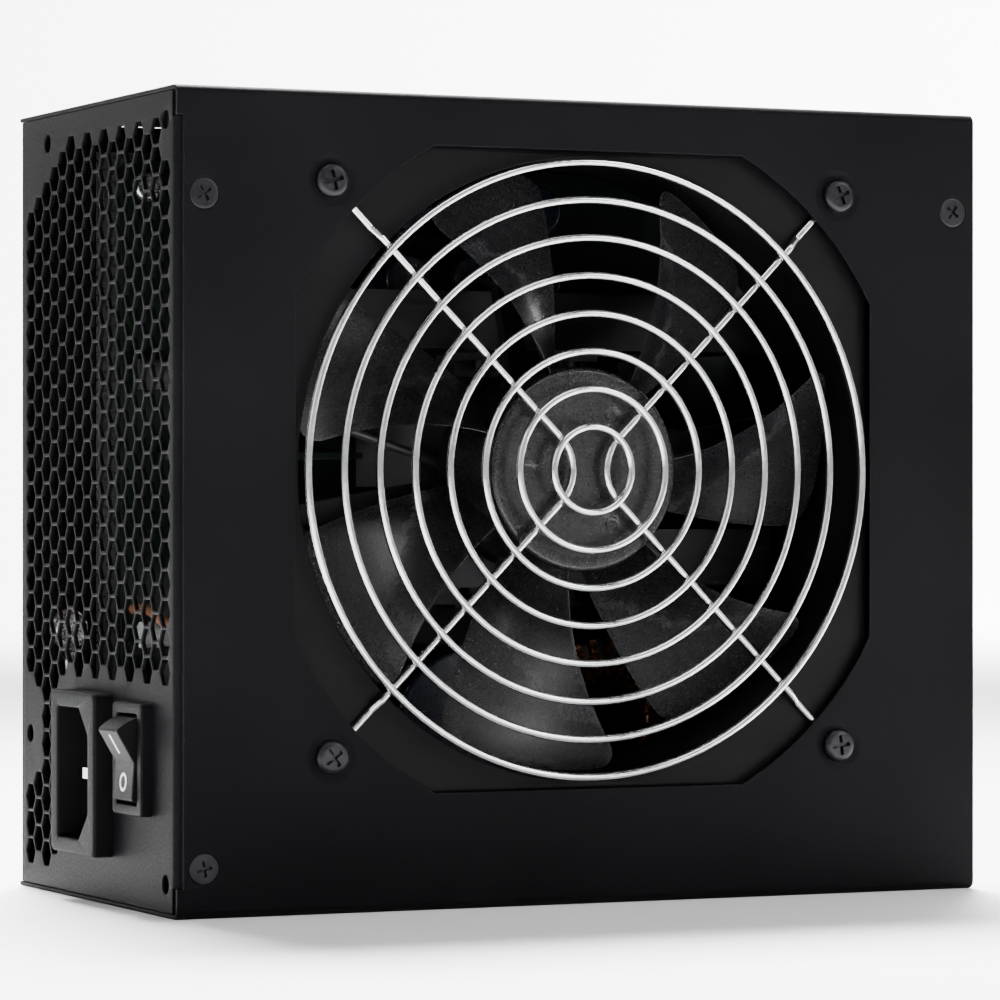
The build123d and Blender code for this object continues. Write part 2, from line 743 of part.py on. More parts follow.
def ring_turns(outer, inner, thick, turns, wire, start=0.0, span=360.0):
    """Turns of enamelled wire round a ring core, each a closed loop round its section."""
    hole = Rectangle(outer - inner + 2 * part_gap, thick + 2 * part_gap)
    loop = Rectangle(outer - inner + 2 * part_gap + 2 * wire, thick + 2 * part_gap + 2 * wire)
    loop = fillet(loop.vertices(), wire) - hole
    plane = Plane(origin=((outer + inner) / 2, 0, 0), x_dir=(1, 0, 0), z_dir=(0, -1, 0))
    turn = extrude(plane * loop, amount=wire / 2, both=True)
    return [Rot(0, 0, start + span * count / turns) * turn for count in range(turns)]


pfc_size = (16.0, 9.5, 13.0)
output_size = (12.6, 7.2, 11.0)
mains_size = (10.5, 6.0, 8.0)


def choke(size, x, z, turns, wire, upright=False):
    """A ring core and its winding, lying on the board or standing on edge."""
    outer, inner, thick = size
    lift = outer + wire + 1.0 if upright else thick / 2 + wire + 1.0
    turn = Rot(0, 90, 0) if upright else Rot(0, 0, 0)
    place = board_plane * Pos(x, z, lift) * turn
    if upright:
        loops = ring_turns(outer, inner, thick, turns, wire, 20.0, 150.0)
        loops += ring_turns(outer, inner, thick, turns, wire, 200.0, 150.0)
    else:
        loops = ring_turns(outer, inner, thick, turns, wire)
    return place * ring_core(outer, inner, thick), group(place * loop for loop in loops)


def transformer_core(width, thick, height, leg, window, yoke, lift):
    """Two E halves closed on each other: three legs between two yokes."""
    core = slab(width, thick, lift, lift + height)
    for side in (-1, 1):
        opening = slab(window, thick + 2, lift + yoke, lift + height - yoke)
        core -= Pos(side * (leg + window) / 2, 0, 0) * opening
    return core


def transformer_winding(thick, height, leg, window, yoke, lift, bulge):
    """Taped coil on its bobbin, round the centre leg."""
    low = lift + yoke + 0.3
    high = lift + height - yoke - 0.3
    outer_x = leg + 2 * window - 0.6
    outer_y = thick + 2 * bulge
    coil = extrude(Pos(0, 0, low) * RectangleRounded(outer_x, outer_y, 4.0), amount=high - low)
    return coil - slab(leg + 2 * part_gap, thick + 2 * part_gap, low - 1, high + 1)


def transformer_feet(thick, high, bulge, width):
    """The bobbin's two pin carriers, which stand on the board under the coil."""
    feet = []
    for side in (-1, 1):
        foot = Pos(0, side * (thick + bulge + 0.6) / 2, 0) * slab(width, bulge - 1.0, 0, high)
        feet.append(foot)
    return feet


# ---------------------------------------------------------------- small parts on the board

def can(radius, height):
    """Electrolytic capacitor: rolled groove near its foot and a crimped rim on top."""
    body = cyl(radius, 0.4, height)
    body = fillet(body.edges().filter_by(GeomType.CIRCLE), min(1.2, radius / 5))
    groove = Pos(0, 0, height * 0.12 + 1.0) * Torus(radius + 0.35, 0.8)
    return body - groove + cyl(radius * 0.6, 0, 1.0)


def output_capacitors():
    cans = []
    for x in (-12.0, 2.0, 16.0):
        for z in (119.0, 133.0):
            cans.append(stand(can(5.0, 22.0), x, z))
    return group(cans)


def film_block(width, length, height):
    block = slab(width, length, 0, height)
    return fillet(block.edges().group_by(Axis.Z)[-1], 0.8)


def x_capacitors():
    return group([stand(film_block(8.0, 18.0, 15.0), board_low_x + 14, 19.0),
                  stand(film_block(8.0, 18.0, 15.0), board_low_x + 26, 19.0)])


def disc_part(radius, thick, lift):
    """Dipped disc on two legs, standing on edge with its faces along local y."""
    disc = Pos(0, 0, lift) * Rot(90, 0, 0) * Cylinder(radius, thick)
    disc = fillet(disc.edges(), thick * 0.3)
    for x in (-2.5, 2.5):
        disc += Pos(x, 0, 0) * cyl(0.35, 0, lift - radius * 0.6)
    return disc


def y_capacitors():
    return group([stand(disc_part(4.0, 4.0, 6.0), board_low_x + 17, 34.0),
                  stand(disc_part(4.0, 4.0, 6.0), board_low_x + 17, 41.0)])


def thermistor():
    return stand(Rot(0, 0, 90) * disc_part(6.0, 4.4, 9.0), board_low_x + 8, 38.0)


def fuse():
    """Glass tube fuse lying between two end caps on short legs."""
    body = Pos(0, 0, 5.0) * Rot(0, 90, 0) * Cylinder(2.4, 14)
    for side in (-1, 1):
        body += Pos(side * 8.0, 0, 5.0) * Rot(0, 90, 0) * Cylinder(2.6, 4.0)
        body += Pos(side * 8.0, 0, 0) * slab(1.0, 3.0, 0, 4.0)
    return stand(body, board_low_x + 12, 49.0)


def control_board():
    """Small board standing on edge in the main board."""
    return stand(slab(34.0, 1.2, 0, 24.0), board_low_x + 24, 84.0)


def fan_plug():
    x, z = fan_plug_spot
    body = slab(7.4, 5.8, 0, 3.5) + slab(6.0, 4.4, 3.5, 9.0)
    return stand(body, x, z)


# ---------------------------------------------------------------- mains wires inside

def tab_place(number):
    """Middle of an inlet pin's solder tab."""
    y, z = inlet_pin_spots[number]
    x = x_rear + inlet_cavity_depth - inlet_proud + inlet_floor + pin_tab / 2
    return x, inlet_y + y, inlet_z + z


def switch_tab_place(side):
    return x_rear + switch_body_depth + terminal_long - 2, switch_y, switch_z + side * terminal_offset


def switch_wire():
    """Live wire from the inlet to the switch."""
    x, y, z = tab_place(0)
    sx, sy, sz = switch_tab_place(1)
    z_top = z + pin_thick / 2
    points = [(x, y, z_top), (x, y, z_top + 10), (sx, y - 14, z_top + 8),
              (sx, y - 15.5, sz), (sx, sy + 0.4, sz)]
    return wire_along(points, [3.0, 3.0, 3.0], wire_radius)


def live_wire():
    """Live wire from the switch to the fuse's corner of the board."""
    sx, sy, sz = switch_tab_place(-1)
    end_x = board_low_x + 2.5
    points = [(sx, sy - 0.4, sz), (sx, sy - 10, sz), (sx, sy - 10, sz + 23), (sx, 10, sz + 29),
              (end_x, board_front - 9, 54), (end_x, board_front, 54)]
    return wire_along(points, [4.0, 5.0, 6.0, 4.0], wire_radius)


def neutral_wire():
    """Neutral wire from the inlet to the filter's corner of the board."""
    x, y, z = tab_place(1)
    end_x = board_low_x + 2.5
    points = [(x, y + pin_wide / 2, z), (x, y + 14, z), (end_x, y + 22, z + 4), (end_x, board_front, z + 4)]
    return wire_along(points, [5.0, 5.0], wire_radius)


def earth_wire():
    """Earth wire from the inlet to the lug on the casing."""
    x, y, z = tab_place(2)
    lug_x = earth_spot.origin.X
    end_y = y_back - sheet - lug_barrel - part_gap
    end_z = earth_spot.origin.Z - lug_length
    points = [(x, y + pin_wide / 2, z), (x, y + 15, z), (lug_x, end_y - 9, z), (lug_x, end_y, z + 6),
              (lug_x, end_y, end_z)]
    return wire_along(points, [5.0, 5.0, 4.0], wire_radius)


lug_barrel = 1.7
lug_length = 12.0
lug_thick = 0.8


def earth_lug():
    """Ring terminal with the barrel crimped on the earth wire."""
    lug = tube(4.0, 2.0, -sheet - lug_thick, -sheet)
    lug += Pos(0, 5.4, -sheet - lug_thick / 2) * Box(2.6, 4.4, lug_thick)
    barrel = Rot(-90, 0, 0) * Cylinder(lug_barrel, lug_length / 2, align=BOTTOM)
    return earth_spot * (lug + Pos(0, lug_length / 2, -sheet - lug_barrel - part_gap) * barrel)


def earth_screw():
    seat = -sheet - lug_thick
    head = fillet(cyl(3.4, seat - 2.0, seat).edges().sort_by(Axis.Z)[0], 0.8)
    return earth_spot * (head + cyl(1.9, seat, 0))


# ---------------------------------------------------------------- writing

pfc_core, pfc_turns = choke(pfc_size, 34.0, 31.0, 28, 1.5)
output_core, output_turns = choke(output_size, board_low_x + 26, 126.0, 22, 1.5)
mains_core, mains_turns = choke(mains_size, board_low_x + 28.5, 42.0, 8, 1.2, upright=True)

main_place = board_plane * Pos(2.0, 84.0, 0)
main_core = main_place * transformer_core(
    core_width, core_thick, core_height, core_leg, core_window, core_yoke, 3.0)
main_coil = transformer_winding(core_thick, core_height, core_leg, core_window, core_yoke, 3.0, 6.5)
main_coil = main_place * (main_coil + transformer_feet(core_thick, 8.4, 6.5, core_width - 9))
small_place = board_plane * Pos(46.0, 83.0, 0)
small_core = small_place * transformer_core(19.0, 6.0, 17.0, 5.0, 4.5, 2.5, 2.5)
small_coil = small_place * transformer_winding(6.0, 17.0, 5.0, 4.5, 2.5, 2.5, 4.0)

nodes = {
    "fan_cover": fan_cover(),
    "rear_panel": rear_panel(),
    "base_tray": base_tray(),
    "case_screws": case_screws(),
    "cable_grommet": cable_grommet(),
    "fan_guard": fan_guard(),
    "fan_screws": fan_screws(),
    "fan_frame": fan_frame(),
    "fan_motor_mount": fan_motor_mount(),
    "fan_impeller": fan_impeller(),
    "fan_yoke": fan_yoke(),
    "fan_magnet_ring": fan_magnet_ring(),
    "fan_shaft": fan_shaft(),
    "fan_shaft_clip": fan_shaft_clip(),
    "fan_bearing_sleeve": fan_bearing_sleeve(),
    "fan_stator_core": fan_stator_core(),
    "fan_stator_windings": fan_stator_windings(),
    "fan_driver_board": fan_driver_board(),
    "fan_lead": fan_lead(),
    "fan_plug": fan_plug(),
    "inlet_housing": inlet_housing(),
    "inlet_live_pin": inlet_pin(0, pin_tip),
    "inlet_neutral_pin": inlet_pin(1, pin_tip),
    "inlet_earth_pin": inlet_pin(2, earth_pin_tip),
    "switch_housing": switch_housing(),
    "switch_rocker": switch_rocker(),
    "switch_terminals": switch_terminals(),
    "switch_wire": switch_wire(),
    "live_wire": live_wire(),
    "neutral_wire": neutral_wire(),
    "earth_wire": earth_wire(),
    "earth_lug": earth_lug(),
    "earth_screw": earth_screw(),
    "main_board": main_board(),
    "board_standoffs": board_standoffs(),
    "board_screws": board_screws(),
    "insulating_sheet": insulating_sheet(),
    "primary_heatsink": stand(heatsink(), board_centre_x, primary_sink_z),
    "secondary_heatsink": stand(heatsink(), board_centre_x, secondary_sink_z),
    "heatsink_screws": heatsink_screws(),
    "switching_transistors": devices(primary_sink_z, sink_screw_xs[1:]),
    "output_rectifiers": devices(secondary_sink_z, sink_screw_xs[1:]),
    "bridge_rectifier": bridge_rectifier(),
    "main_transformer_core": main_core,
    "main_transformer_winding": main_coil,
    "standby_transformer_core": small_core,
    "standby_transformer_winding": small_coil,
    "pfc_choke_core": pfc_core,
    "pfc_choke_winding": pfc_turns,
    "output_choke_core": output_core,
    "output_choke_winding": output_turns,
    "mains_choke_core": mains_core,
    "mains_choke_winding": mains_turns,
    "bulk_capacitor": stand(can(bulk_radius, bulk_height), -8.0, 32.0),
    "output_capacitors": output_capacitors(),
    "x_capacitors": x_capacitors(),
    "y_capacitors": y_capacitors(),
    "thermistor": thermistor(),
    "fuse": fuse(),
    "control_board": control_board(),
}

for name, shape in nodes.items():
    export_step(shape, "parts/" + name + ".step")
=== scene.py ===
from math import atan2, cos, hypot, pi, radians, sin, sqrt, tan

import bmesh
import bpy
from mathutils import Matrix, Vector
from mathutils.geometry import delaunay_2d_cdt


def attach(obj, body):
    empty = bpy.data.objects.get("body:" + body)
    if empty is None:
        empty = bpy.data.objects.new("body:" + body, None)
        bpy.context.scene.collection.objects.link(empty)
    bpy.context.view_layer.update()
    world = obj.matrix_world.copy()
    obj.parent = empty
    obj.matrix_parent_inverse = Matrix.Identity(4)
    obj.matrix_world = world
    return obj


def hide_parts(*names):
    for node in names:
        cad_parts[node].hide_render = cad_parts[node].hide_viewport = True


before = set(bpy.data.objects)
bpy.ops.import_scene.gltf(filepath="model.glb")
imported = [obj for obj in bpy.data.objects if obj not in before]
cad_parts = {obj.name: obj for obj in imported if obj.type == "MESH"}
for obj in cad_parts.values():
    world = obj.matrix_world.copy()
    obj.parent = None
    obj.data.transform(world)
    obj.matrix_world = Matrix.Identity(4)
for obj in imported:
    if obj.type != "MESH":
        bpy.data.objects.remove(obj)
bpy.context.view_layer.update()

# ---- Fan cover
# The outer half of the casing is 0.8 mm sheet steel, punched flat with the fan opening and the screw
# holes, then folded to a U and powder-coated black. It slides over the tray and three screws hold it.
MM = 0.001
SHEET = 0.8
BEND = 1.6
EDGE = 0.14
CASE_X, CASE_Y, CASE_Z = 82.5, 43.0, 150.0
FAN_Z = 81.0
BEND_RUN = pi / 2 * (BEND - SHEET / 2)
FAN_SCREWS = [(x, z) for x in (-52.5, 52.5) for z in (-52.5, 52.5)]
CASE_SCREWS = [(-77.3, 130.5), (-77.3, 9.0), (77.8, 131.0)]


def finish(name, tones, grain, rough, metal=0.0, relief=0.0, patch=25.0, stretch=(1, 1, 1), wear_and_sheen=None,
           wear_and_sheen_width=0.35, **sockets):
    """Finish with a fine grain over broad patches, and a paler line along its edges: wear where the coat
    thins, and a painted highlight where edges catch the light.
    """
    material = bpy.data.materials.new(name)
    material.use_nodes = True
    tree = material.node_tree
    shader = tree.nodes["Principled BSDF"]
    shader.inputs["Metallic"].default_value = metal
    for socket, value in sockets.items():
        shader.inputs[socket.replace("_", " ")].default_value = value

    def node(kind, **settings):
        made = tree.nodes.new(kind)
        for key, value in settings.items():
            setattr(made, key, value)
        return made

    place = node("ShaderNodeTexCoord")
    scale = node("ShaderNodeVectorMath", operation="MULTIPLY")
    scale.inputs[1].default_value = stretch
    tree.links.new(place.outputs["Object"], scale.inputs[0])
    fine = node("ShaderNodeTexNoise")
    fine.inputs["Scale"].default_value = 1000 / grain
    fine.inputs["Detail"].default_value = 3
    broad = node("ShaderNodeTexNoise")
    broad.inputs["Scale"].default_value = 1000 / patch
    broad.inputs["Detail"].default_value = 2
    tree.links.new(scale.outputs[0], fine.inputs["Vector"])
    tree.links.new(place.outputs["Object"], broad.inputs["Vector"])
    blend = node("ShaderNodeMix", data_type="FLOAT")
    blend.inputs["Factor"].default_value = 0.5
    tree.links.new(fine.outputs["Fac"], blend.inputs["A"])
    tree.links.new(broad.outputs["Fac"], blend.inputs["B"])
    share = node("ShaderNodeMapRange")
    share.inputs["From Min"].default_value = 0.36
    share.inputs["From Max"].default_value = 0.64
    tree.links.new(blend.outputs["Result"], share.inputs["Value"])
    tone = node("ShaderNodeMix", data_type="RGBA")
    tone.inputs["A"].default_value = (*tones[0], 1)
    tone.inputs["B"].default_value = (*tones[1], 1)
    tree.links.new(share.outputs["Result"], tone.inputs["Factor"])
    sheen = node("ShaderNodeMapRange")
    sheen.inputs["From Min"].default_value = 0.35
    sheen.inputs["From Max"].default_value = 0.65
    sheen.inputs["To Min"].default_value = rough[0]
    sheen.inputs["To Max"].default_value = rough[1]
    tree.links.new(fine.outputs["Fac"], sheen.inputs["Value"])
    colour = tone.outputs["Result"]
    # Paler edges: partly wear, partly a painted highlight standing in for the light that edges catch.
    if wear_and_sheen:
        soft = node("ShaderNodeBevel", samples=4)
        soft.inputs["Radius"].default_value = wear_and_sheen_width * MM
        true = node("ShaderNodeNewGeometry")
        turn = node("ShaderNodeVectorMath", operation="DOT_PRODUCT")
        tree.links.new(soft.outputs["Normal"], turn.inputs[0])
        tree.links.new(true.outputs["Normal"], turn.inputs[1])
        wear_and_sheen_mask = node("ShaderNodeMapRange")
        wear_and_sheen_mask.inputs["From Min"].default_value = 0.995
        wear_and_sheen_mask.inputs["From Max"].default_value = 0.82
        tree.links.new(turn.outputs["Value"], wear_and_sheen_mask.inputs["Value"])
        patchy_wear_and_sheen = node("ShaderNodeMath", operation="MULTIPLY")
        tree.links.new(wear_and_sheen_mask.outputs["Result"], patchy_wear_and_sheen.inputs[0])
        tree.links.new(share.outputs["Result"], patchy_wear_and_sheen.inputs[1])
        wear_and_sheen_mix = node("ShaderNodeMix", data_type="RGBA")
        wear_and_sheen_mix.inputs["B"].default_value = (*wear_and_sheen, 1)
        tree.links.new(patchy_wear_and_sheen.outputs["Value"], wear_and_sheen_mix.inputs["Factor"])
        tree.links.new(colour, wear_and_sheen_mix.inputs["A"])
        colour = wear_and_sheen_mix.outputs["Result"]
    tree.links.new(colour, shader.inputs["Base Color"])
    tree.links.new(sheen.outputs["Result"], shader.inputs["Roughness"])
    if relief:
        bump = node("ShaderNodeBump")
        bump.inputs["Distance"].default_value = relief * MM
        tree.links.new(fine.outputs["Fac"], bump.inputs["Height"])
        tree.links.new(bump.outputs["Normal"], shader.inputs["Normal"])
    return material


def circle(x, y, radius, count=48, start=0.0):
    """Outline of a round hole, peg or rim."""
    steps = [start + 2 * pi * i / count for i in range(count)]
    return [(x + radius * cos(a), y + radius * sin(a)) for a in steps]


def rounded(corners, radius, count=6):
    """Outline with each corner rounded."""
    outline = []
    for i, (x, y) in enumerate(corners):
        here = Vector((x, y))
        back = (Vector(corners[i - 1]) - here).normalized()
        ahead = (Vector(corners[(i + 1) % len(corners)]) - here).normalized()
        half = back.angle(ahead) / 2
        reach = radius / tan(half)
        centre = here + (back + ahead).normalized() * (radius / sin(half))
        first = here + back * reach - centre
        last = here + ahead * reach - centre
        for k in range(count + 1):
            share = k / count
            ray = first * (1 - share) + last * share
            outline.append(tuple(centre + ray.normalized() * radius))
    return outline


def grown(outline, reach):
    """The outline moved outward by a small reach, or inward where it is negative."""
    moved = []
    for i, (x, y) in enumerate(outline):
        here = Vector((x, y))
        back = (here - Vector(outline[i - 1])).normalized()
        ahead = (Vector(outline[(i + 1) % len(outline)]) - here).normalized()
        normal_back = Vector((back.y, -back.x))
        normal_ahead = Vector((ahead.y, -ahead.x))
        both = normal_back + normal_ahead
        moved.append(tuple(here + both * (reach / (1 + normal_back.dot(normal_ahead)))))
    return moved


class Skin:
    """The surface of one piece, gathered in millimetres."""

    def __init__(self):
        self.points = []
        self.faces = []

    def ring(self, points):
        first = len(self.points)
        self.points.extend(points)
        return list(range(first, len(self.points)))

    def wall(self, low, high):
        for i in range(len(low)):
            j = (i + 1) % len(low)
            self.faces.append((low[i], low[j], high[j], high[i]))

    def rings(self, loops):
        made = [self.ring(loop) for loop in loops]
        for low, high in zip(made, made[1:]):
            self.wall(low, high)
        return made

    def cap(self, ring):
        self.faces.append(tuple(ring))

    def level(self, place, rims, cuts=()):
        """Area inside the first rim, less the cuts. Each rim and cut is an outline and its height."""
        flat, lift, edges, faces, rows = [], [], [], [], []
        for number, (outline, height) in enumerate([*rims, *cuts]):
            row = list(range(len(flat), len(flat) + len(outline)))
            flat.extend(Vector(p) for p in outline)
            lift.extend(height(*p) if callable(height) else height for p in outline)
            rows.append(row)
            if number and number < len(rims):
                edges.extend(zip(row, row[1:] + row[:1]))
            else:
                faces.append(row)
        points, _, parts, source, _, within = delaunay_2d_cdt(flat, edges, faces, 0, 1e-6)
        ids = self.ring([place(p.x, p.y, lift[source[i][0]]) for i, p in enumerate(points)])
        for part, inside in zip(parts, within):
            if list(inside) == [0]:
                self.faces.append(tuple(ids[i] for i in part))
        found = {old: ids[i] for i, olds in enumerate(source) for old in olds}
        return [[found[i] for i in row] for row in rows]

    def plate(self, place, outline, cuts, low, high, edge, low_edge=None):
        """Plate between two heights, its edges eased on both faces."""
        under = edge if low_edge is None else low_edge
        top = self.level(place, [(grown(outline, -edge), high)], [(grown(c, edge), high) for c in cuts])
        base = self.level(place, [(grown(outline, -under), low)], [(grown(c, under), low) for c in cuts])
        for number, line in enumerate([outline, *cuts]):
            upper = self.ring([place(x, y, high - edge) for x, y in line])
            lower = self.ring([place(x, y, low + under) for x, y in line])
            self.wall(base[number], lower)
            self.wall(lower, upper)
            self.wall(upper, top[number])

    def turned(self, place, profile, count=48, closed=False):
        """Round piece from a profile of (radius, height) points."""
        rows = []
        for radius, height in profile:
            if radius < 1e-6:
                rows.append(self.ring([place(0, 0, height)]))
            else:
                rows.append(self.ring([place(x, y, height) for x, y in circle(0, 0, radius, count)]))
        pairs = list(zip(rows, rows[1:]))
        if closed:
            pairs.append((rows[-1], rows[0]))
        for low, high in pairs:
            if len(low) == len(high):
                self.wall(low, high)
                continue
            tip, rim = (low, high) if len(low) == 1 else (high, low)
            for i in range(count):
                self.faces.append((tip[0], rim[i], rim[(i + 1) % count]))

    def piece(self, name, body, material, replaced=(), crease=55):
        """The finished object, riding on its body."""
        mesh = bpy.data.meshes.new(name)
        mesh.from_pydata([Vector(p) * MM for p in self.points], [], self.faces)
        work = bmesh.new()
        work.from_mesh(mesh)
        bmesh.ops.remove_doubles(work, verts=work.verts, dist=0.002 * MM)
        bmesh.ops.dissolve_degenerate(work, edges=work.edges, dist=0.0005 * MM)
        loose = [v for v in work.verts if not v.link_faces]
        bmesh.ops.delete(work, geom=loose, context="VERTS")
        bmesh.ops.recalc_face_normals(work, faces=work.faces)
        work.to_mesh(mesh)
        work.free()
        mesh.shade_smooth()
        mesh.set_sharp_from_angle(angle=radians(crease))
        mesh.materials.append(material)
        made = bpy.data.objects.new(name, mesh)
        bpy.context.scene.collection.objects.link(made)
        flat = made.modifiers.new("even_faces", "WEIGHTED_NORMAL")
        flat.keep_sharp = True
        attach(made, body)
        if replaced:
            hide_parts(*replaced)
        return made


def folding(start, lengths):
    """Where a point of the flat strip goes once the strip is folded square between its runs."""
    runs = []
    spot = Vector(start)
    ahead = Vector((-1, 0))
    reached = 0.0
    for i, length in enumerate(lengths):
        inward = Vector((ahead.y, -ahead.x))
        runs.append((reached, length, spot.copy(), ahead.copy(), inward.copy(), False))
        reached += length
        spot += ahead * length
        if i < len(lengths) - 1:
            runs.append((reached, BEND_RUN, spot.copy(), ahead.copy(), inward.copy(), True))
            reached += BEND_RUN
            spot += (ahead + inward) * BEND
            ahead = inward
    bends = [run[0] for run in runs if run[5]]

    def folded(along, depth):
        begin, length, origin, heading, inward, bent = [r for r in runs if along >= r[0] - 1e-9][-1]
        if not bent:
            return origin + heading * (along - begin) + inward * depth
        angle = pi / 2 * (along - begin) / length
        return origin + inward * BEND + (heading * sin(angle) - inward * cos(angle)) * (BEND - depth)

    return folded, bends


def folded_sheet(skin, place, outline, cuts, bends, marks=(), dent=None, open_edge=None):
    """Punched blank with eased edges, folded at its bends. An open edge runs on into the next piece."""
    flat, edges, faces = [], [], []
    low_side = min(p[1] for p in outline) - 1
    high_side = max(p[1] for p in outline) + 1
    lines = [(outline, True), (grown(outline, -EDGE), False)]
    lines += [(cut, True) for cut in cuts] + [(grown(cut, EDGE), False) for cut in cuts]
    lines += [(mark, False) for mark in marks]
    for line, is_face in lines:
        row = list(range(len(flat), len(flat) + len(line)))
        flat.extend(Vector(p) for p in line)
        if is_face:
            faces.append(row)
        else:
            edges.extend(zip(row, row[1:] + row[:1]))
    for bend in bends:
        for step in range(7):
            along = bend + BEND_RUN * step / 6
            flat.extend([Vector((along, low_side)), Vector((along, high_side))])
            edges.append((len(flat) - 2, len(flat) - 1))
    points, _, parts, _, _, within = delaunay_2d_cdt(flat, edges, faces, 0, 1e-6)
    parts = [part for part, inside in zip(parts, within) if list(inside) == [0]]
    sides = {}
    for part in parts:
        for i, a in enumerate(part):
            sides.setdefault(frozenset((a, part[i - 1])), []).append((part[i - 1], a))
    rim = [pair[0] for pair in sides.values() if len(pair) == 1]
    free = [p for p in rim if open_edge is None or any(abs(points[i].x - open_edge) > 1e-4 for i in p)]
    eased = {i for pair in free for i in pair}
    used = sorted({i for part in parts for i in part})
    front, back = {}, {}
    for i in used:
        x, y = points[i]
        sunk = EDGE if i in eased else (dent(x, y) if dent else 0.0)
        under = SHEET - EDGE if i in eased else SHEET
        front[i], back[i] = skin.ring([place(x, y, sunk), place(x, y, under)])
    for part in parts:
        skin.faces.append(tuple(front[i] for i in part))
        skin.faces.append(tuple(back[i] for i in reversed(part)))
    for a, b in rim:
        skin.faces.append((front[a], front[b], back[b], back[a]))


black_steel = finish("black_powder_coat", [(0.0022, 0.0022, 0.0027), (0.0042, 0.0042, 0.0050)], 0.55,
                     (0.44, 0.58), relief=0.014, patch=38.0, wear_and_sheen=(0.026, 0.026, 0.028),
                     Specular_IOR_Level=0.035)

cover_fold, cover_bends = folding((CASE_Y, 0.0), [2 * CASE_Y - BEND, CASE_Z - 2 * BEND, 2 * CASE_Y - BEND])
COVER_FACE = 2 * CASE_Y - 2 * BEND + BEND_RUN
RELIEF = 5.5
SETBACK = 1.2
FAN_HOLE, CASE_HOLE = 2.4, 2.95
DIMPLE, DIMPLE_SLOPE, DIMPLE_DEPTH = 5.1, 1.35, 0.35
OPENING_HALF = 59.5
OPENING_RADIUS = 67.5


def cover_place(along, x, depth):
    y, z = cover_fold(along, depth)
    return x, y, z


def up_cover(z):
    """Height on the fan face, measured along the blank."""
    return COVER_FACE + z


cover_length = 2 * (2 * CASE_Y - BEND) + CASE_Z - 2 * BEND + 2 * BEND_RUN
slit_low, slit_high = up_cover(RELIEF), up_cover(CASE_Z - RELIEF)
cover_outline = [(0, -CASE_X), (slit_low, -CASE_X), (slit_low, SETBACK - CASE_X),
                 (slit_high, SETBACK - CASE_X), (slit_high, -CASE_X), (cover_length, -CASE_X),
                 (cover_length, CASE_X), (0, CASE_X)]
corner_turn = atan2(sqrt(OPENING_RADIUS ** 2 - OPENING_HALF ** 2), OPENING_HALF)
fan_opening = []
for quarter in range(4):
    for step in range(21):
        turn = quarter * pi / 2 + corner_turn + (pi / 2 - 2 * corner_turn) * step / 20
        fan_opening.append((up_cover(FAN_Z) + OPENING_RADIUS * cos(turn), OPENING_RADIUS * sin(turn)))
dimples = [(up_cover(FAN_Z + z), x) for x, z in FAN_SCREWS]
cover_cuts = [fan_opening]
cover_cuts += [circle(along, x, FAN_HOLE, 32) for along, x in dimples]
cover_cuts += [circle(up_cover(z), x, CASE_HOLE, 40) for x, z in CASE_SCREWS]
dimple_rings = [circle(along, x, r, 40) for along, x in dimples for r in (3.75, 4.15, 4.6, DIMPLE)]


def cover_dent(along, x):
    """Depth of the pressed dimple round each fan screw."""
    away = min(hypot(along - a, x - b) for a, b in dimples)
    share = min(max((DIMPLE - away) / DIMPLE_SLOPE, 0.0), 1.0)
    return DIMPLE_DEPTH * share * share * (3 - 2 * share)


cover = Skin()
folded_sheet(cover, cover_place, cover_outline, cover_cuts, cover_bends, dimple_rings, cover_dent)
cover.piece("fan_cover_sheet", "casing", black_steel, ["fan_cover"])

# ---- Rear panel
# One end of the tray, the same folded sheet as its back wall. A punch cuts the honeycomb of hexagonal
# vents, the four screw holes for the computer's case, and the openings for the inlet and the switch.
LAP = 0.9
FLANGE_REACH = 11.0
FLANGE = FLANGE_REACH - BEND
FLANGE_HOLE = 1.6
FLANGE_Y = LAP - CASE_Y
PANEL_RUN = CASE_Y - BEND - (FLANGE_Y + BEND)
HEX_PITCH = 5.3
HEX_ACROSS = 4.65
HEX_COLUMNS = 17
HEX_TOP = 7.7
HEX_CORNER = 0.3
REAR_HOLE = 1.75
REAR_HOLES = [(-37.0, 144.0), (-37.0, 6.0), (27.0, 144.0), (37.0, 30.0)]
INLET_Y, INLET_Z = 1.8, 24.2
SWITCH_Y, SWITCH_Z = -22.7, 28.0
tray_fold, tray_bends = folding((FLANGE_REACH - CASE_X, FLANGE_Y),
                                [FLANGE, PANEL_RUN, 2 * (CASE_X - BEND), PANEL_RUN, FLANGE])


def tray_place(along, z, depth):
    x, y = tray_fold(along, depth)
    return x, y, z


def across_panel(y):
    """Place on the rear panel, measured along the blank from the flange's free edge."""
    return FLANGE + BEND_RUN + y - (FLANGE_Y + BEND)


def rectangle(x, y, wide, high, radius=0.0):
    """Outline of a block seen from its front."""
    corners = [(x + sx * wide / 2, y + sy * high / 2) for sx, sy in ((-1, -1), (1, -1), (1, 1), (-1, 1))]
    return rounded(corners, radius) if radius else corners


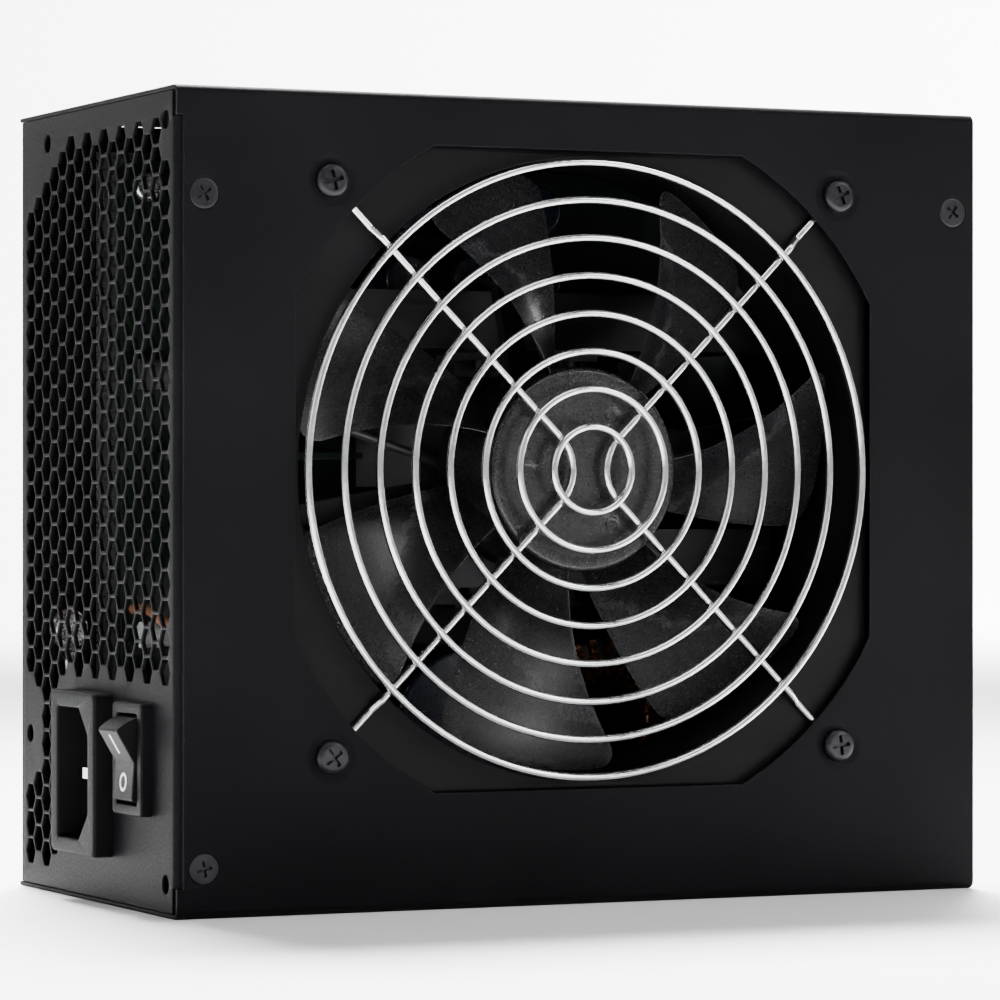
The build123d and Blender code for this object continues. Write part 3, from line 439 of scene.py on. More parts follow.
panel_low, panel_high = LAP, CASE_Z - LAP
panel_cut = RELIEF + 0.1
panel_start = across_panel(FLANGE_Y + BEND)
panel_end = across_panel(CASE_Y - BEND)
panel_outline = [(0, panel_cut), (panel_start, panel_cut), (panel_start, panel_low), (panel_end, panel_low),
                 (panel_end, panel_high), (panel_start, panel_high), (panel_start, CASE_Z - panel_cut),
                 (0, CASE_Z - panel_cut)]
hex_rows = {1: [*range(2, 19), *range(23, 26)], 2: [*range(2, 20), *range(23, 26)], 3: range(1, 26),
            4: range(1, 26), HEX_COLUMNS: range(1, 19)}
panel_cuts = []
for column in range(1, HEX_COLUMNS + 1):
    y = ((HEX_COLUMNS + 1) / 2 - column) * HEX_PITCH * cos(pi / 6)
    stagger = HEX_PITCH / 2 if column % 2 else 0.0
    for row in hex_rows.get(column, range(19)):
        z = CASE_Z - HEX_TOP - stagger - row * HEX_PITCH
        cell = circle(across_panel(y), z, HEX_ACROSS / sqrt(3), 6)
        panel_cuts.append(rounded(cell, HEX_CORNER, 2))
panel_cuts += [circle(across_panel(y), z, REAR_HOLE, 32) for y, z in REAR_HOLES]
panel_cuts.append(rectangle(across_panel(INLET_Y), INLET_Z, 19.9, 27.9))
panel_cuts.append(rectangle(across_panel(SWITCH_Y), SWITCH_Z, 13.2, 19.0))
panel_cuts += [circle(FLANGE_REACH - CASE_X - x, z, FLANGE_HOLE, 24) for x, z in CASE_SCREWS[:2]]
panel = Skin()
folded_sheet(panel, tray_place, panel_outline, panel_cuts, tray_bends[:1], open_edge=panel_end)
panel.piece("rear_panel_sheet", "casing", black_steel, ["rear_panel"])

# ---- Base tray
# The rest of the folded strip: the back wall, the cable side and the second flange. It carries the
# board on four standoffs and the earth stud, and is coated together with the rear panel.
OUTLET_Y, OUTLET_Z = 14.0, 122.0
OUTLET = 14.5
EARTH_X, EARTH_Z, EARTH_HOLE = -73.0, 50.0, 1.95
STANDOFF_HOLE = 1.55


def across_back(x):
    """Place on the back wall, measured along the blank."""
    return panel_end + BEND_RUN + x + CASE_X - BEND


def across_side(y):
    """Place on the cable side, measured along the blank."""
    return across_back(CASE_X - BEND) + BEND_RUN + CASE_Y - BEND - y


side_end = across_side(FLANGE_Y + BEND)
tray_end = side_end + BEND_RUN + FLANGE
tray_outline = [(panel_end, panel_low), (side_end, panel_low), (side_end, panel_cut), (tray_end, panel_cut),
                (tray_end, CASE_Z - panel_cut), (side_end, CASE_Z - panel_cut), (side_end, panel_high),
                (panel_end, panel_high)]
tray_cuts = [circle(across_side(OUTLET_Y), OUTLET_Z, OUTLET, 64)]
tray_cuts.append(circle(across_back(EARTH_X), EARTH_Z, EARTH_HOLE, 32))
tray_cuts += [circle(across_back(x), z, STANDOFF_HOLE, 24) for x in (-59.0, 69.0) for z in (13.0, 137.0)]
side_screw_x, side_screw_z = CASE_SCREWS[2]
tray_cuts.append(circle(tray_end - FLANGE + CASE_X - BEND - side_screw_x, side_screw_z, FLANGE_HOLE, 24))
tray = Skin()
folded_sheet(tray, tray_place, tray_outline, tray_cuts, tray_bends[1:], open_edge=panel_end)
tray.piece("base_tray_sheet", "casing", black_steel, ["base_tray"])

# ---- Cable grommet
# A ring of soft black rubber round the cable outlet. Its groove is stretched over the edge of the
# sheet, so that the wires never rub on steel.
black_rubber = finish("black_rubber", [(0.010, 0.010, 0.0105), (0.017, 0.017, 0.0175)], 0.8, (0.62, 0.78),
                      relief=0.01, patch=9.0)
LIP = OUTLET + 2.2
BORE = 11.5


def on_outlet(y, z, out):
    return CASE_X + out, OUTLET_Y + y, OUTLET_Z + z


grommet = Skin()
lip_curve = [(0.0, -0.75), (-0.08, -0.3), (-0.35, -0.05), (-0.7, 0.0)]
outer_lip = [(LIP + r, 1.5 + h) for r, h in lip_curve]
bore_lip = [(BORE - r, 1.5 + h) for r, h in reversed(lip_curve)]
bore_foot = [(BORE - r, -SHEET - 1.5 - h) for r, h in lip_curve]
outer_foot = [(LIP + r, -SHEET - 1.5 - h) for r, h in reversed(lip_curve)]
groove = [(LIP - 0.1, -SHEET - 0.3), (LIP - 0.4, -SHEET - 0.02), (OUTLET, -SHEET - 0.02), (OUTLET, 0.02),
          (LIP - 0.4, 0.02), (LIP - 0.1, 0.3)]
grommet.turned(on_outlet, outer_lip + bore_lip + bore_foot + outer_foot + groove, 72, closed=True)
grommet.piece("cable_grommet_ring", "casing", black_rubber, ["cable_grommet"])

# ---- Case screws
# Three countersunk M3 machine screws of steel with a black oxide finish. They hold the cover to the
# tray's flanges, two beside the rear panel and one beside the cable side.
black_screw = finish("black_oxide_steel", [(0.009, 0.009, 0.010), (0.018, 0.018, 0.020)], 0.5, (0.28, 0.40),
                     metal=0.8, relief=0.003, patch=4.0, wear_and_sheen=(0.075, 0.075, 0.078), wear_and_sheen_width=0.15)


def cross_screw(skin, place, crown, seat, span, slot, deep, turned_by):
    """Screw with a cross recess: the crown runs inward from the rim, the seat and shank run down."""
    half, arm = slot / 2, span / 2
    corners = [(-half, -arm), (half, -arm), (half, -half), (arm, -half), (arm, half), (half, half),
               (half, arm), (-half, arm), (-half, half), (-arm, half), (-arm, -half), (-half, -half)]

    def lift(x, y):
        away = hypot(x, y)
        for (r0, h0), (r1, h1) in zip(crown, crown[1:]):
            if r1 <= away <= r0:
                return h1 + (h0 - h1) * (away - r1) / (r0 - r1)
        return crown[-1][1]

    spin = Matrix.Rotation(turned_by, 2)
    recess = rounded(corners, 0.13, 3)
    floor = grown(recess, -0.11)
    rims = [(circle(0, 0, radius, 40), height) for radius, height in crown]
    rims += [([tuple(spin @ Vector(p)) for p in recess], lift)]
    rims += [([tuple(spin @ Vector(p)) for p in floor], lambda x, y: lift(x, y) - deep)]
    rim = skin.level(place, rims)[0]
    for radius, height in seat:
        below = skin.ring([place(x, y, height) for x, y in circle(0, 0, radius, 40)])
        skin.wall(rim, below)
        rim = below
    skin.cap(rim)


def on_cover(x, z):
    """Height off the fan face, round a point of it."""
    return lambda across, up, out: (x + across, -CASE_Y - out, z + up)


case_screws = Skin()
for (x, z), turn in zip(CASE_SCREWS, (0.55, 0.2, 0.95)):
    cross_screw(case_screws, on_cover(x, z), crown=[(2.82, -0.06), (2.66, 0.0), (2.2, 0.0)],
                seat=[(2.85, -0.16), (1.5, -1.4), (1.5, -4.6), (1.1, -5.0)],
                span=3.0, slot=0.62, deep=0.75, turned_by=turn)
case_screws.piece("case_screw_set", "casing", black_screw, ["case_screws"])

# ---- Fan frame and motor mount
# Glass-filled black plastic, moulded in one with the four struts and the motor's base: two square
# flanges joined by the round duct and by a boss at each corner for the fan's screws.
black_plastic = finish("black_moulded_plastic", [(0.0014, 0.0014, 0.0017), (0.0028, 0.0028, 0.0033)], 0.7,
                       (0.40, 0.52), relief=0.010, patch=16.0, wear_and_sheen=(0.012, 0.012, 0.013), wear_and_sheen_width=0.25,
                       Specular_IOR_Level=0.07)
FRAME_FRONT, FRAME_BACK = -2.3, -27.3
FRAME_WALL, FRAME_FLANGE, FRAME_SIZE = 1.5, 3.6, 120.0
FRAME_JOIN = FRAME_FLANGE - 0.2
DUCT, BOSS, SCREW_BORE = 58.0, 4.4, 2.05


def on_fan(x, z, out):
    """Round the fan's axis, out from the fan face."""
    return x, -CASE_Y - out, FAN_Z + z


def dress(material, *names):
    """Give CAD nodes their finish."""
    for name in names:
        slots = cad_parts[name].data.materials
        slots.clear()
        slots.append(material)


duct = Skin()
screw_bores = [circle(x, z, SCREW_BORE, 24) for x, z in FAN_SCREWS]
square = rectangle(0, 0, FRAME_SIZE, FRAME_SIZE, 5.0)
bore = circle(0, 0, DUCT, 120)
duct.plate(on_fan, square, [bore, *screw_bores], FRAME_FRONT - FRAME_FLANGE, FRAME_FRONT, 0.45, 0.1)
duct.plate(on_fan, square, [bore, *screw_bores], FRAME_BACK, FRAME_BACK + FRAME_FLANGE, 0.1)
join_low, join_high = FRAME_BACK + FRAME_JOIN, FRAME_FRONT - FRAME_JOIN
duct.turned(on_fan, [(DUCT, join_high), (DUCT + FRAME_WALL, join_high), (DUCT + FRAME_WALL, join_low),
                     (DUCT, join_low)], 120, closed=True)
for (x, z), screw_bore in zip(FAN_SCREWS, screw_bores):
    duct.plate(on_fan, circle(x, z, BOSS, 32), [screw_bore], join_low, join_high, 0.05)
duct.piece("fan_frame_duct", "casing", black_plastic, ["fan_frame"])
dress(black_plastic, "fan_motor_mount")

# ---- Fan motor
# A brushless motor behind the hub: a steel cup with a ring magnet turns on a shaft in a bronze sleeve,
# round four copper coils on a laminated stack, with a small driver board under them.
plain_steel = finish("plain_steel", [(0.42, 0.42, 0.43), (0.56, 0.56, 0.57)], 0.5, (0.22, 0.38), metal=1.0,
                     relief=0.003, patch=8.0)
dark_ceramic = finish("dark_ceramic", [(0.022, 0.021, 0.021), (0.045, 0.043, 0.042)], 0.35, (0.62, 0.8),
                      relief=0.012, patch=5.0)
bronze = finish("sintered_bronze", [(0.33, 0.19, 0.075), (0.46, 0.28, 0.12)], 0.25, (0.38, 0.55), metal=1.0,
                relief=0.008, patch=3.0)
copper = finish("enamelled_copper", [(0.17, 0.050, 0.018), (0.26, 0.09, 0.034)], 0.5, (0.2, 0.34),
                metal=0.9, relief=0.012, patch=4.0, Coat_Weight=0.5, Coat_Roughness=0.12)
# Painted shade: the boards' green lacquer is darkened far below its own tone, standing for the dim inside
# of the casing and the motor.
board_green_and_shade = finish("green_board_and_shade", [(0.0010, 0.0048, 0.0020), (0.0016, 0.0075, 0.0032)], 1.6, (0.34, 0.48),
                     relief=0.02, patch=11.0, Specular_IOR_Level=0.2)
dress(plain_steel, "fan_yoke", "fan_shaft", "fan_shaft_clip", "fan_stator_core")
dress(dark_ceramic, "fan_magnet_ring")
dress(bronze, "fan_bearing_sleeve")
dress(copper, "fan_stator_windings")
dress(board_green_and_shade, "fan_driver_board")

# ---- Fan impeller
# Glossy black plastic moulded in one: a cup hub that turns over the motor, with three balancing
# dimples in its face, and seven forward-swept blades that thin out toward rounded tips.
gloss_black = finish("gloss_black_plastic", [(0.0052, 0.0052, 0.0058), (0.0068, 0.0068, 0.0075)], 0.35,
                     (0.26, 0.30), relief=0.0008, patch=20.0, wear_and_sheen=(0.03, 0.03, 0.032), wear_and_sheen_width=0.25,
                     Specular_IOR_Level=0.32)
HUB, HUB_FACE, HUB_DEPTH, HUB_WALL = 19.2, -2.8, 17.0, 1.5
HUB_BORE = HUB - HUB_WALL
HUB_SINK = 0.12
BALANCE_RING, BALANCE_RADIUS = 11.7, 1.4
BLADES, BLADE_TIP, BLADE_ROOT, TIP_CORNER = 7, 56.5, 18.3, 5.0
BLADE_FRONT, BLADE_RUN, CAMBER = -4.9, 14.8, 1.5
impeller = Skin()
hub_rims = [(circle(0, 0, HUB - 1.0, 96), HUB_FACE), (circle(0, 0, HUB - 2.6, 96), HUB_FACE),
            (circle(0, 0, HUB - 2.9, 96), HUB_FACE - HUB_SINK),
            (circle(0, 0, 8.0, 48), HUB_FACE - HUB_SINK)]
for turn in (60, 180, 300):
    x, z = BALANCE_RING * cos(radians(turn)), BALANCE_RING * sin(radians(turn))
    hub_rims += [(circle(x, z, BALANCE_RADIUS + 0.25, 28), HUB_FACE - HUB_SINK),
                 (circle(x, z, BALANCE_RADIUS, 28), HUB_FACE - 0.3),
                 (circle(x, z, BALANCE_RADIUS - 0.25, 28), HUB_FACE - 0.5)]
rim = impeller.level(on_fan, hub_rims)[0]
shoulder = [(HUB - 1 + sin(radians(a)), HUB_FACE - 1 + cos(radians(a))) for a in (15, 30, 45, 60, 75, 90)]
hub_foot = HUB_FACE - HUB_DEPTH
skirt = [(HUB, hub_foot + 0.2), (HUB - 0.2, hub_foot), (HUB_BORE + 0.2, hub_foot),
         (HUB_BORE, hub_foot + 0.2), (HUB_BORE, HUB_FACE - HUB_WALL)]
for radius, height in shoulder + skirt:
    below = impeller.ring([on_fan(x, z, height) for x, z in circle(0, 0, radius, 96)])
    impeller.wall(rim, below)
    rim = below
impeller.cap(rim)


def blade_loop(share, phase):
    """Section of a blade at a share of its length, wrapped round the axis."""
    radius = BLADE_ROOT + (BLADE_TIP - BLADE_ROOT) * share
    past = max(0.0, radius - (BLADE_TIP - TIP_CORNER))
    trim = TIP_CORNER - sqrt(max(TIP_CORNER ** 2 - past ** 2, 0.0))
    lead = 56.5 + 17.0 * share ** 1.1
    width = 23.0 + 10.0 * share
    thick = 1.7 - 0.6 * share
    chord = radians(width) * radius
    first = trim / chord
    upper, lower = [], []
    for i in range(19):
        along = first + (1 - 2 * first) * (0.5 - 0.5 * cos(pi * i / 18))
        turn = radians(phase + lead - width * along)
        height = BLADE_FRONT - BLADE_RUN * along
        camber = CAMBER * sin(pi * along)
        taper = 0.35 + 0.65 * sin(pi * (0.12 + 0.76 * along))
        half = thick / 2 * taper * sqrt(max(sin(pi * i / 18), 0.0))
        for side, line in ((1, upper), (-1, lower)):
            shift = (camber + side * half) * 0.72
            angle = turn + shift / radius
            lifted = height - (camber - side * half) * 0.55
            line.append(on_fan(radius * cos(angle), radius * sin(angle), lifted))
    return upper + lower[-2:0:-1]


stations = [0.0, 0.12, 0.25, 0.38, 0.5, 0.62, 0.74, 0.84, 0.9, 0.94, 0.97, 0.99, 1.0]
for blade in range(BLADES):
    rows = impeller.rings([blade_loop(share, 360 / BLADES * blade) for share in stations])
    impeller.cap(rows[0])
    impeller.cap(rows[-1])
impeller.piece("fan_impeller_moulding", "fan_rotor", gloss_black, ["fan_impeller"], 50)

# ---- Wire guard
# Eight rings of 1.5 mm steel wire, resistance-welded on to two bent legs, then bright nickel-plated.
# The legs step down under the cover and end in eyelets that the fan's screws clamp.
bright_wire = finish("bright_plated_wire", [(0.50, 0.50, 0.51), (0.66, 0.66, 0.67)], 0.9, (0.10, 0.22),
                     metal=1.0, relief=0.006, patch=7.0)
WIRE = 0.75
RINGS, FIRST_RING, RING_PITCH = 8, 8.0, 7.05
RING_STEPS = 144
SEAM_PINCH, SEAM_REACH = 0.06, 0.9
EYELET = 3.4
LEG_END, JOGGLE_OUT, JOGGLE_IN = 70.85, 62.5, 60.0
LEG_BEND, LEG_APEX = 2.0, 8.45
LEG_LEVEL, LEG_LOW = -0.6, -1.55
RING_LEVEL = LEG_LEVEL + 2 * WIRE - 0.2


def bent_wire(corners, radii, steps=10):
    """Line of a wire bent round a pin at each inner corner."""
    line = [Vector(corners[0])]
    for i in range(1, len(corners) - 1):
        here = Vector(corners[i])
        back = (Vector(corners[i - 1]) - here).normalized()
        ahead = (Vector(corners[i + 1]) - here).normalized()
        half = back.angle(ahead) / 2
        centre = here + (back + ahead).normalized() * (radii[i - 1] / sin(half))
        first = here + back * (radii[i - 1] / tan(half)) - centre
        last = here + ahead * (radii[i - 1] / tan(half)) - centre
        for k in range(steps + 1):
            line.append(centre + first.normalized().slerp(last.normalized(), k / steps) * radii[i - 1])
    line.append(Vector(corners[-1]))
    return line


guard_curve = bpy.data.curves.new("fan_guard_wires", "CURVE")
guard_curve.dimensions = "3D"
guard_curve.bevel_depth = WIRE * MM
guard_curve.bevel_resolution = 5
guard_curve.use_fill_caps = True


def lay_wire(line, closed=False, widths=None):
    """One wire of the guard, from points on the fan face."""
    spline = guard_curve.splines.new("POLY")
    spline.points.add(len(line) - 1)
    for i, (x, z, out) in enumerate(line):
        spline.points[i].co = (*(Vector(on_fan(x, z, out)) * MM), 1)
        spline.points[i].radius = widths[i] if widths else 1.0
    spline.use_cyclic_u = closed
    spline.use_smooth = True


for count in range(RINGS):
    radius = FIRST_RING + RING_PITCH * count
    seam = radians(118 + 41 * count)
    steps = [seam + 2 * pi * i / RING_STEPS for i in range(RING_STEPS)]
    from_seam = [min(i, RING_STEPS - i) * radius * 2 * pi / RING_STEPS for i in range(RING_STEPS)]
    widths = [1.0 - SEAM_PINCH * max(0.0, 1 - reach / SEAM_REACH) for reach in from_seam]
    lay_wire([(radius * cos(a), radius * sin(a), RING_LEVEL) for a in steps], True, widths)
    for turn in (45, 135, 225, 315):
        x, z = radius * cos(radians(turn)), radius * sin(radians(turn))
        tangent = Vector((-z, x)).normalized()
        middle = (RING_LEVEL + LEG_LEVEL) / 2
        nugget = [(x + tangent.x * t, z + tangent.y * t, middle) for t in (-1.0, -0.5, 0, 0.5, 1.0)]
        if count:
            lay_wire(nugget, False, [0.15, 0.62, 0.8, 0.62, 0.15])
slope = [(LEG_END, LEG_LOW), (JOGGLE_OUT, LEG_LOW), (JOGGLE_IN, LEG_LEVEL)]
for side in (-1, 1):
    up = [(side * r * cos(pi / 4), r * sin(pi / 4), level) for r, level in slope]
    down = [(x, -z, level) for x, z, level in reversed(up)]
    lay_wire(bent_wire(up + [(0, 0, LEG_LEVEL)] + down, [LEG_BEND, LEG_BEND, LEG_APEX, LEG_BEND, LEG_BEND]))
for x, z in FAN_SCREWS:
    lay_wire([(*p, LEG_LOW) for p in circle(x, z, EYELET, 40)], True)
guard = bpy.data.objects.new("fan_guard_wires", guard_curve)
bpy.context.scene.collection.objects.link(guard)
guard_curve.materials.append(bright_wire)
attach(guard, "casing")
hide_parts("fan_guard")

# ---- Fan screws
# Four pan-head thread-forming screws, black like the case screws. Each sits in a pressed dimple and
# clamps the cover, one eyelet of the guard and a corner of the fan together.
fan_screws = Skin()
pan_crown = [(3.2, 0.35), (3.12, 0.72), (2.92, 1.0), (2.6, 1.19), (2.2, 1.29), (2.0, 1.3)]
for (x, z), turn in zip(FAN_SCREWS, (0.62, 0.25, 0.12, 0.4)):
    cross_screw(fan_screws, on_cover(x, FAN_Z + z), pan_crown,
                seat=[(3.2, -0.15), (3.05, -0.35), (2.0, -0.35), (2.0, -8.4), (1.4, -9.0)],
                span=3.8, slot=0.8, deep=0.95, turned_by=turn)
fan_screws.piece("fan_screw_set", "casing", black_screw, ["fan_screws"])

# ---- Mains inlet
# A three-pin socket of black thermoplastic. Its flange stands proud of the rear panel, its cavity has
# two corners cut off so that the plug goes in one way, and flat nickel-plated pins pass its floor.
inlet_plastic = finish("black_inlet_plastic", [(0.0030, 0.0030, 0.0034), (0.0055, 0.0055, 0.0062)], 0.45,
                       (0.44, 0.58), relief=0.012, patch=12.0, wear_and_sheen=(0.022, 0.022, 0.024), wear_and_sheen_width=0.25,
                       Specular_IOR_Level=0.04)
plated_pin = finish("plated_pin", [(0.68, 0.66, 0.62), (0.82, 0.80, 0.77)], 0.4, (0.14, 0.26), metal=1.0,
                    relief=0.003, patch=3.0, stretch=(0.2, 1, 1))


def on_panel(y, z):
    """Height out from the rear panel, round a point of it."""
    return lambda across, up, out: (-CASE_X - out, y + across, z + up)


def flanged_box(skin, place, flange, mouth, box, proud, floor, depth, edge):
    """Moulded box behind a panel, with an eased flange in front and a mouth down to its floor."""
    face = skin.level(place, [(grown(flange, -edge), proud)], [(grown(mouth, edge * 0.6), proud)])
    rows = [[place(*p, proud - edge * (1 - cos(a))) for p in grown(flange, -edge * (1 - sin(a)))]
            for a in (pi / 8, pi / 4, 3 * pi / 8, pi / 2)]
    outer = skin.rings(rows + [[place(*p, 0.0) for p in flange]])
    skin.wall(face[0], outer[0])
    under = skin.level(place, [(flange, 0.0)], [(box, 0.0)])
    skin.wall(outer[-1], under[0])
    back = skin.rings([[place(*p, 0.0) for p in box], [place(*p, 0.4 - depth) for p in box],
                       [place(*p, -depth) for p in grown(box, -0.4)]])
    skin.cap(back[-1])
    well = skin.rings([[place(*p, proud - edge * 0.25) for p in grown(mouth, edge * 0.18)],
                       [place(*p, proud - edge * 0.7) for p in mouth],
                       [place(*p, 0.3 - floor) for p in mouth],
                       [place(*p, -floor) for p in grown(mouth, -0.3)]])
    skin.wall(face[1], well[0])
    skin.cap(well[-1])


cavity = rounded([(-3.25, -12.25), (8.25, -12.25), (8.25, 12.25), (-3.25, 12.25), (-8.25, 7.25),
                  (-8.25, -7.25)], 0.7)
inlet = Skin()
flanged_box(inlet, on_panel(INLET_Y, INLET_Z), flange=rectangle(0, 0, 24.0, 30.5, 1.5), mouth=cavity,
            box=rectangle(0, 0, 19.7, 27.7, 1.0), proud=4.0, floor=13.5, depth=16.0, edge=0.7)
inlet.piece("inlet_socket", "casing", inlet_plastic, ["inlet_housing"])
dress(plated_pin, "inlet_live_pin", "inlet_neutral_pin", "inlet_earth_pin")

# ---- Rocker switch
# A snap-in switch of black nylon. The rocker turns on a pin in the well of its housing, and has a
# stroke for on and a ring for off printed in white on the two halves of its face.
nylon = finish("black_nylon", [(0.0028, 0.0028, 0.0032), (0.0050, 0.0050, 0.0056)], 0.4, (0.40, 0.54),
               relief=0.012, patch=10.0, wear_and_sheen=(0.022, 0.022, 0.024), wear_and_sheen_width=0.25,
               Specular_IOR_Level=0.04)
white_print = finish("white_print", [(0.62, 0.62, 0.61), (0.78, 0.78, 0.77)], 0.3, (0.45, 0.6),
                     relief=0.004, patch=2.0)
housing = Skin()
flanged_box(housing, on_panel(SWITCH_Y, SWITCH_Z), flange=rectangle(0, 0, 15.3, 20.6, 0.9),
            mouth=rectangle(0, 0, 10.6, 16.6, 0.5), box=rectangle(0, 0, 13.0, 18.8, 0.6),
            proud=2.2, floor=7.0, depth=14.0, edge=0.5)
housing.piece("switch_bezel", "casing", nylon, ["switch_housing"])
FACE = radians(17)
VERTEX = 2.6
ROCKER = 8.0
face_run = sqrt((VERTEX * sin(FACE)) ** 2 + ROCKER ** 2 - VERTEX ** 2) - VERTEX * sin(FACE)
tip_up, tip_out = face_run * cos(FACE), VERTEX + face_run * sin(FACE)
TILT = radians(13)
ROCKER_HALF, PIN_END, PIN_RADIUS = 5.0, 6.2, 1.25
FOOT_OUT = 3.0
NOSE, NOSE_ANGLE = 0.35, 0.045


def on_rocker(y, up, out):
    """Round the rocker's pin, with the rocker leaning to off."""
    inward = -out * cos(TILT) - up * sin(TILT)
    rise = -out * sin(TILT) + up * cos(TILT)
    return inward - CASE_X, SWITCH_Y + y, SWITCH_Z + rise


tip_angle = atan2(tip_out, tip_up)
foot_angle = -atan2(FOOT_OUT, sqrt(ROCKER ** 2 - FOOT_OUT ** 2))
flank = [tip_angle + (foot_angle - tip_angle) * i / 10 for i in range(11)]
right = [(ROCKER * cos(a), ROCKER * sin(a)) for a in flank]
left = [(-x, y) for x, y in right]
outline = [(0.0, VERTEX)] + left + right[::-1]
side_view = []
for i, (x, y) in enumerate(outline):
    if (x, y) in (left[0], right[0]):
        inner = Vector((0.0, VERTEX)) - Vector((x, y))
        step = Vector((x, y)) + inner.normalized() * NOSE
        arc = Vector((ROCKER * cos(tip_angle - NOSE_ANGLE), ROCKER * sin(tip_angle - NOSE_ANGLE)))
        arc.x *= 1 if x > 0 else -1
        soft = (Vector((x, y)) * 2 + step + arc) / 4
        turn = [tuple(step), tuple(soft), tuple(arc)]
        side_view += turn if x < 0 else turn[::-1]
    else:
        side_view.append((x, y))
rocker = Skin()
near_end = [(ROCKER_HALF - 0.3, 0.0), (ROCKER_HALF - 0.08, 0.1), (ROCKER_HALF, 0.3)]
layers = [(-y, inset) for y, inset in reversed(near_end)] + near_end
rows = rocker.rings([[on_rocker(y, *p) for p in grown(side_view, -inset)] for y, inset in layers])
rocker.cap(rows[0])
rocker.cap(rows[-1])
pin = [(0, -PIN_END), (PIN_RADIUS, -PIN_END), (PIN_RADIUS, PIN_END), (0, PIN_END)]
rocker.turned(lambda a, b, h: on_rocker(h, a, b), pin, 24)
rocker.piece("switch_rocker_cap", "rocker", nylon, ["switch_rocker"])


def on_face(half):
    """Along one half of the rocker's face from its middle crease: half is 1 above and -1 below."""
    return lambda y, run, out: on_rocker(
        y, half * (run * cos(FACE) - out * sin(FACE)), VERTEX + run * sin(FACE) + out * cos(FACE))


marks = Skin()
marks.plate(on_face(1), rectangle(0, 3.9, 0.75, 4.0, 0.2), [], -0.05, 0.06, 0.03)
marks.plate(on_face(-1), circle(0, 3.6, 1.75, 48), [circle(0, 3.6, 1.15, 48)], -0.05, 0.06, 0.03)
marks.piece("switch_rocker_marks", "rocker", white_print)

# ---- Wiring
# Stranded copper wires in coloured insulation run from the inlet to the switch, the board and the
# earth stud. Tinned brass tabs, a crimped ring lug and a zinc-plated screw join them.
black_wire = finish("black_insulation", [(0.012, 0.012, 0.013), (0.020, 0.020, 0.021)], 0.6, (0.34, 0.46),
                    relief=0.006, patch=6.0)
brown_wire = finish("brown_insulation", [(0.11, 0.040, 0.016), (0.15, 0.058, 0.024)], 0.6, (0.34, 0.46),
                    relief=0.006, patch=6.0)
blue_wire = finish("blue_insulation", [(0.016, 0.075, 0.29), (0.024, 0.10, 0.37)], 0.6, (0.34, 0.46),
                   relief=0.006, patch=6.0)
earth_green = finish("earth_insulation", [(0.05, 0.27, 0.045), (0.62, 0.52, 0.04)], 6.0, (0.34, 0.46),
                     relief=0.006, patch=9.0, stretch=(1, 0.4, 1))
dress(black_wire, "fan_lead", "fan_plug")
dress(brown_wire, "switch_wire", "live_wire")
dress(blue_wire, "neutral_wire")
dress(earth_green, "earth_wire")
dress(plated_pin, "switch_terminals", "earth_lug")
dress(plain_steel, "earth_screw")

# ---- Main board
# A pierced fibreglass board under green lacquer darkened with painted shade, on four brass standoffs over a
# sheet of insulating film coloured dark grey as painted shade.
# A small control board stands on edge in it.
brass = finish("turned_brass", [(0.62, 0.42, 0.14), (0.76, 0.55, 0.22)], 0.4, (0.2, 0.34), metal=1.0,
               relief=0.003, patch=4.0)
# Painted shade: the insulating film is coloured dark grey to stand for the shade inside the casing.
film_painted_shade = finish("film_painted_shade", [(0.030, 0.030, 0.031), (0.045, 0.045, 0.046)], 1.2, (0.24, 0.36),
                     relief=0.004, patch=22.0)
dress(board_green_and_shade, "main_board", "control_board")
dress(brass, "board_standoffs")
dress(plain_steel, "board_screws")
# The heatsink screws take the dark black oxide finish as painted shade for the dim inside of the casing.
dress(black_screw, "heatsink_screws")
dress(film_painted_shade, "insulating_sheet")

# ---- Heatsinks and power devices
# Two extruded plates of black-anodised aluminium stand in the board's slots. The transistors, the
# rectifiers and the mains bridge, moulded in black epoxy, are screwed flat against them.
aluminium = finish("anodised_aluminium", [(0.010, 0.010, 0.011), (0.018, 0.018, 0.020)], 0.5, (0.3, 0.46),
                   metal=0.7, relief=0.006, patch=14.0, stretch=(0.06, 1, 1))
device_black = finish("black_epoxy", [(0.006, 0.006, 0.006), (0.011, 0.011, 0.0105)], 0.35, (0.5, 0.66),
                      relief=0.01, patch=5.0)
dress(aluminium, "primary_heatsink", "secondary_heatsink")
dress(device_black, "switching_transistors", "output_rectifiers", "bridge_rectifier")

# ---- Transformers and chokes
# Ferrite cores closed on taped windings, and rings of iron powder or ferrite wound with enamelled
# copper wire, one turn beside the next.
ferrite = finish("ground_ferrite", [(0.012, 0.012, 0.012), (0.022, 0.021, 0.021)], 0.3, (0.5, 0.7),
                 relief=0.012, patch=6.0)
winding_tape = finish("winding_tape", [(0.030, 0.019, 0.006), (0.046, 0.030, 0.009)], 1.4, (0.22, 0.36),
                      relief=0.012, patch=9.0, stretch=(0.3, 1.6, 0.3))
powder_core = finish("painted_powder_core", [(0.010, 0.011, 0.010), (0.018, 0.020, 0.018)], 0.4,
                     (0.45, 0.6), relief=0.012, patch=5.0)
dress(ferrite, "main_transformer_core", "standby_transformer_core", "mains_choke_core")
dress(winding_tape, "main_transformer_winding", "standby_transformer_winding")
dress(powder_core, "pfc_choke_core", "output_choke_core")
dress(copper, "pfc_choke_winding", "output_choke_winding", "mains_choke_winding")

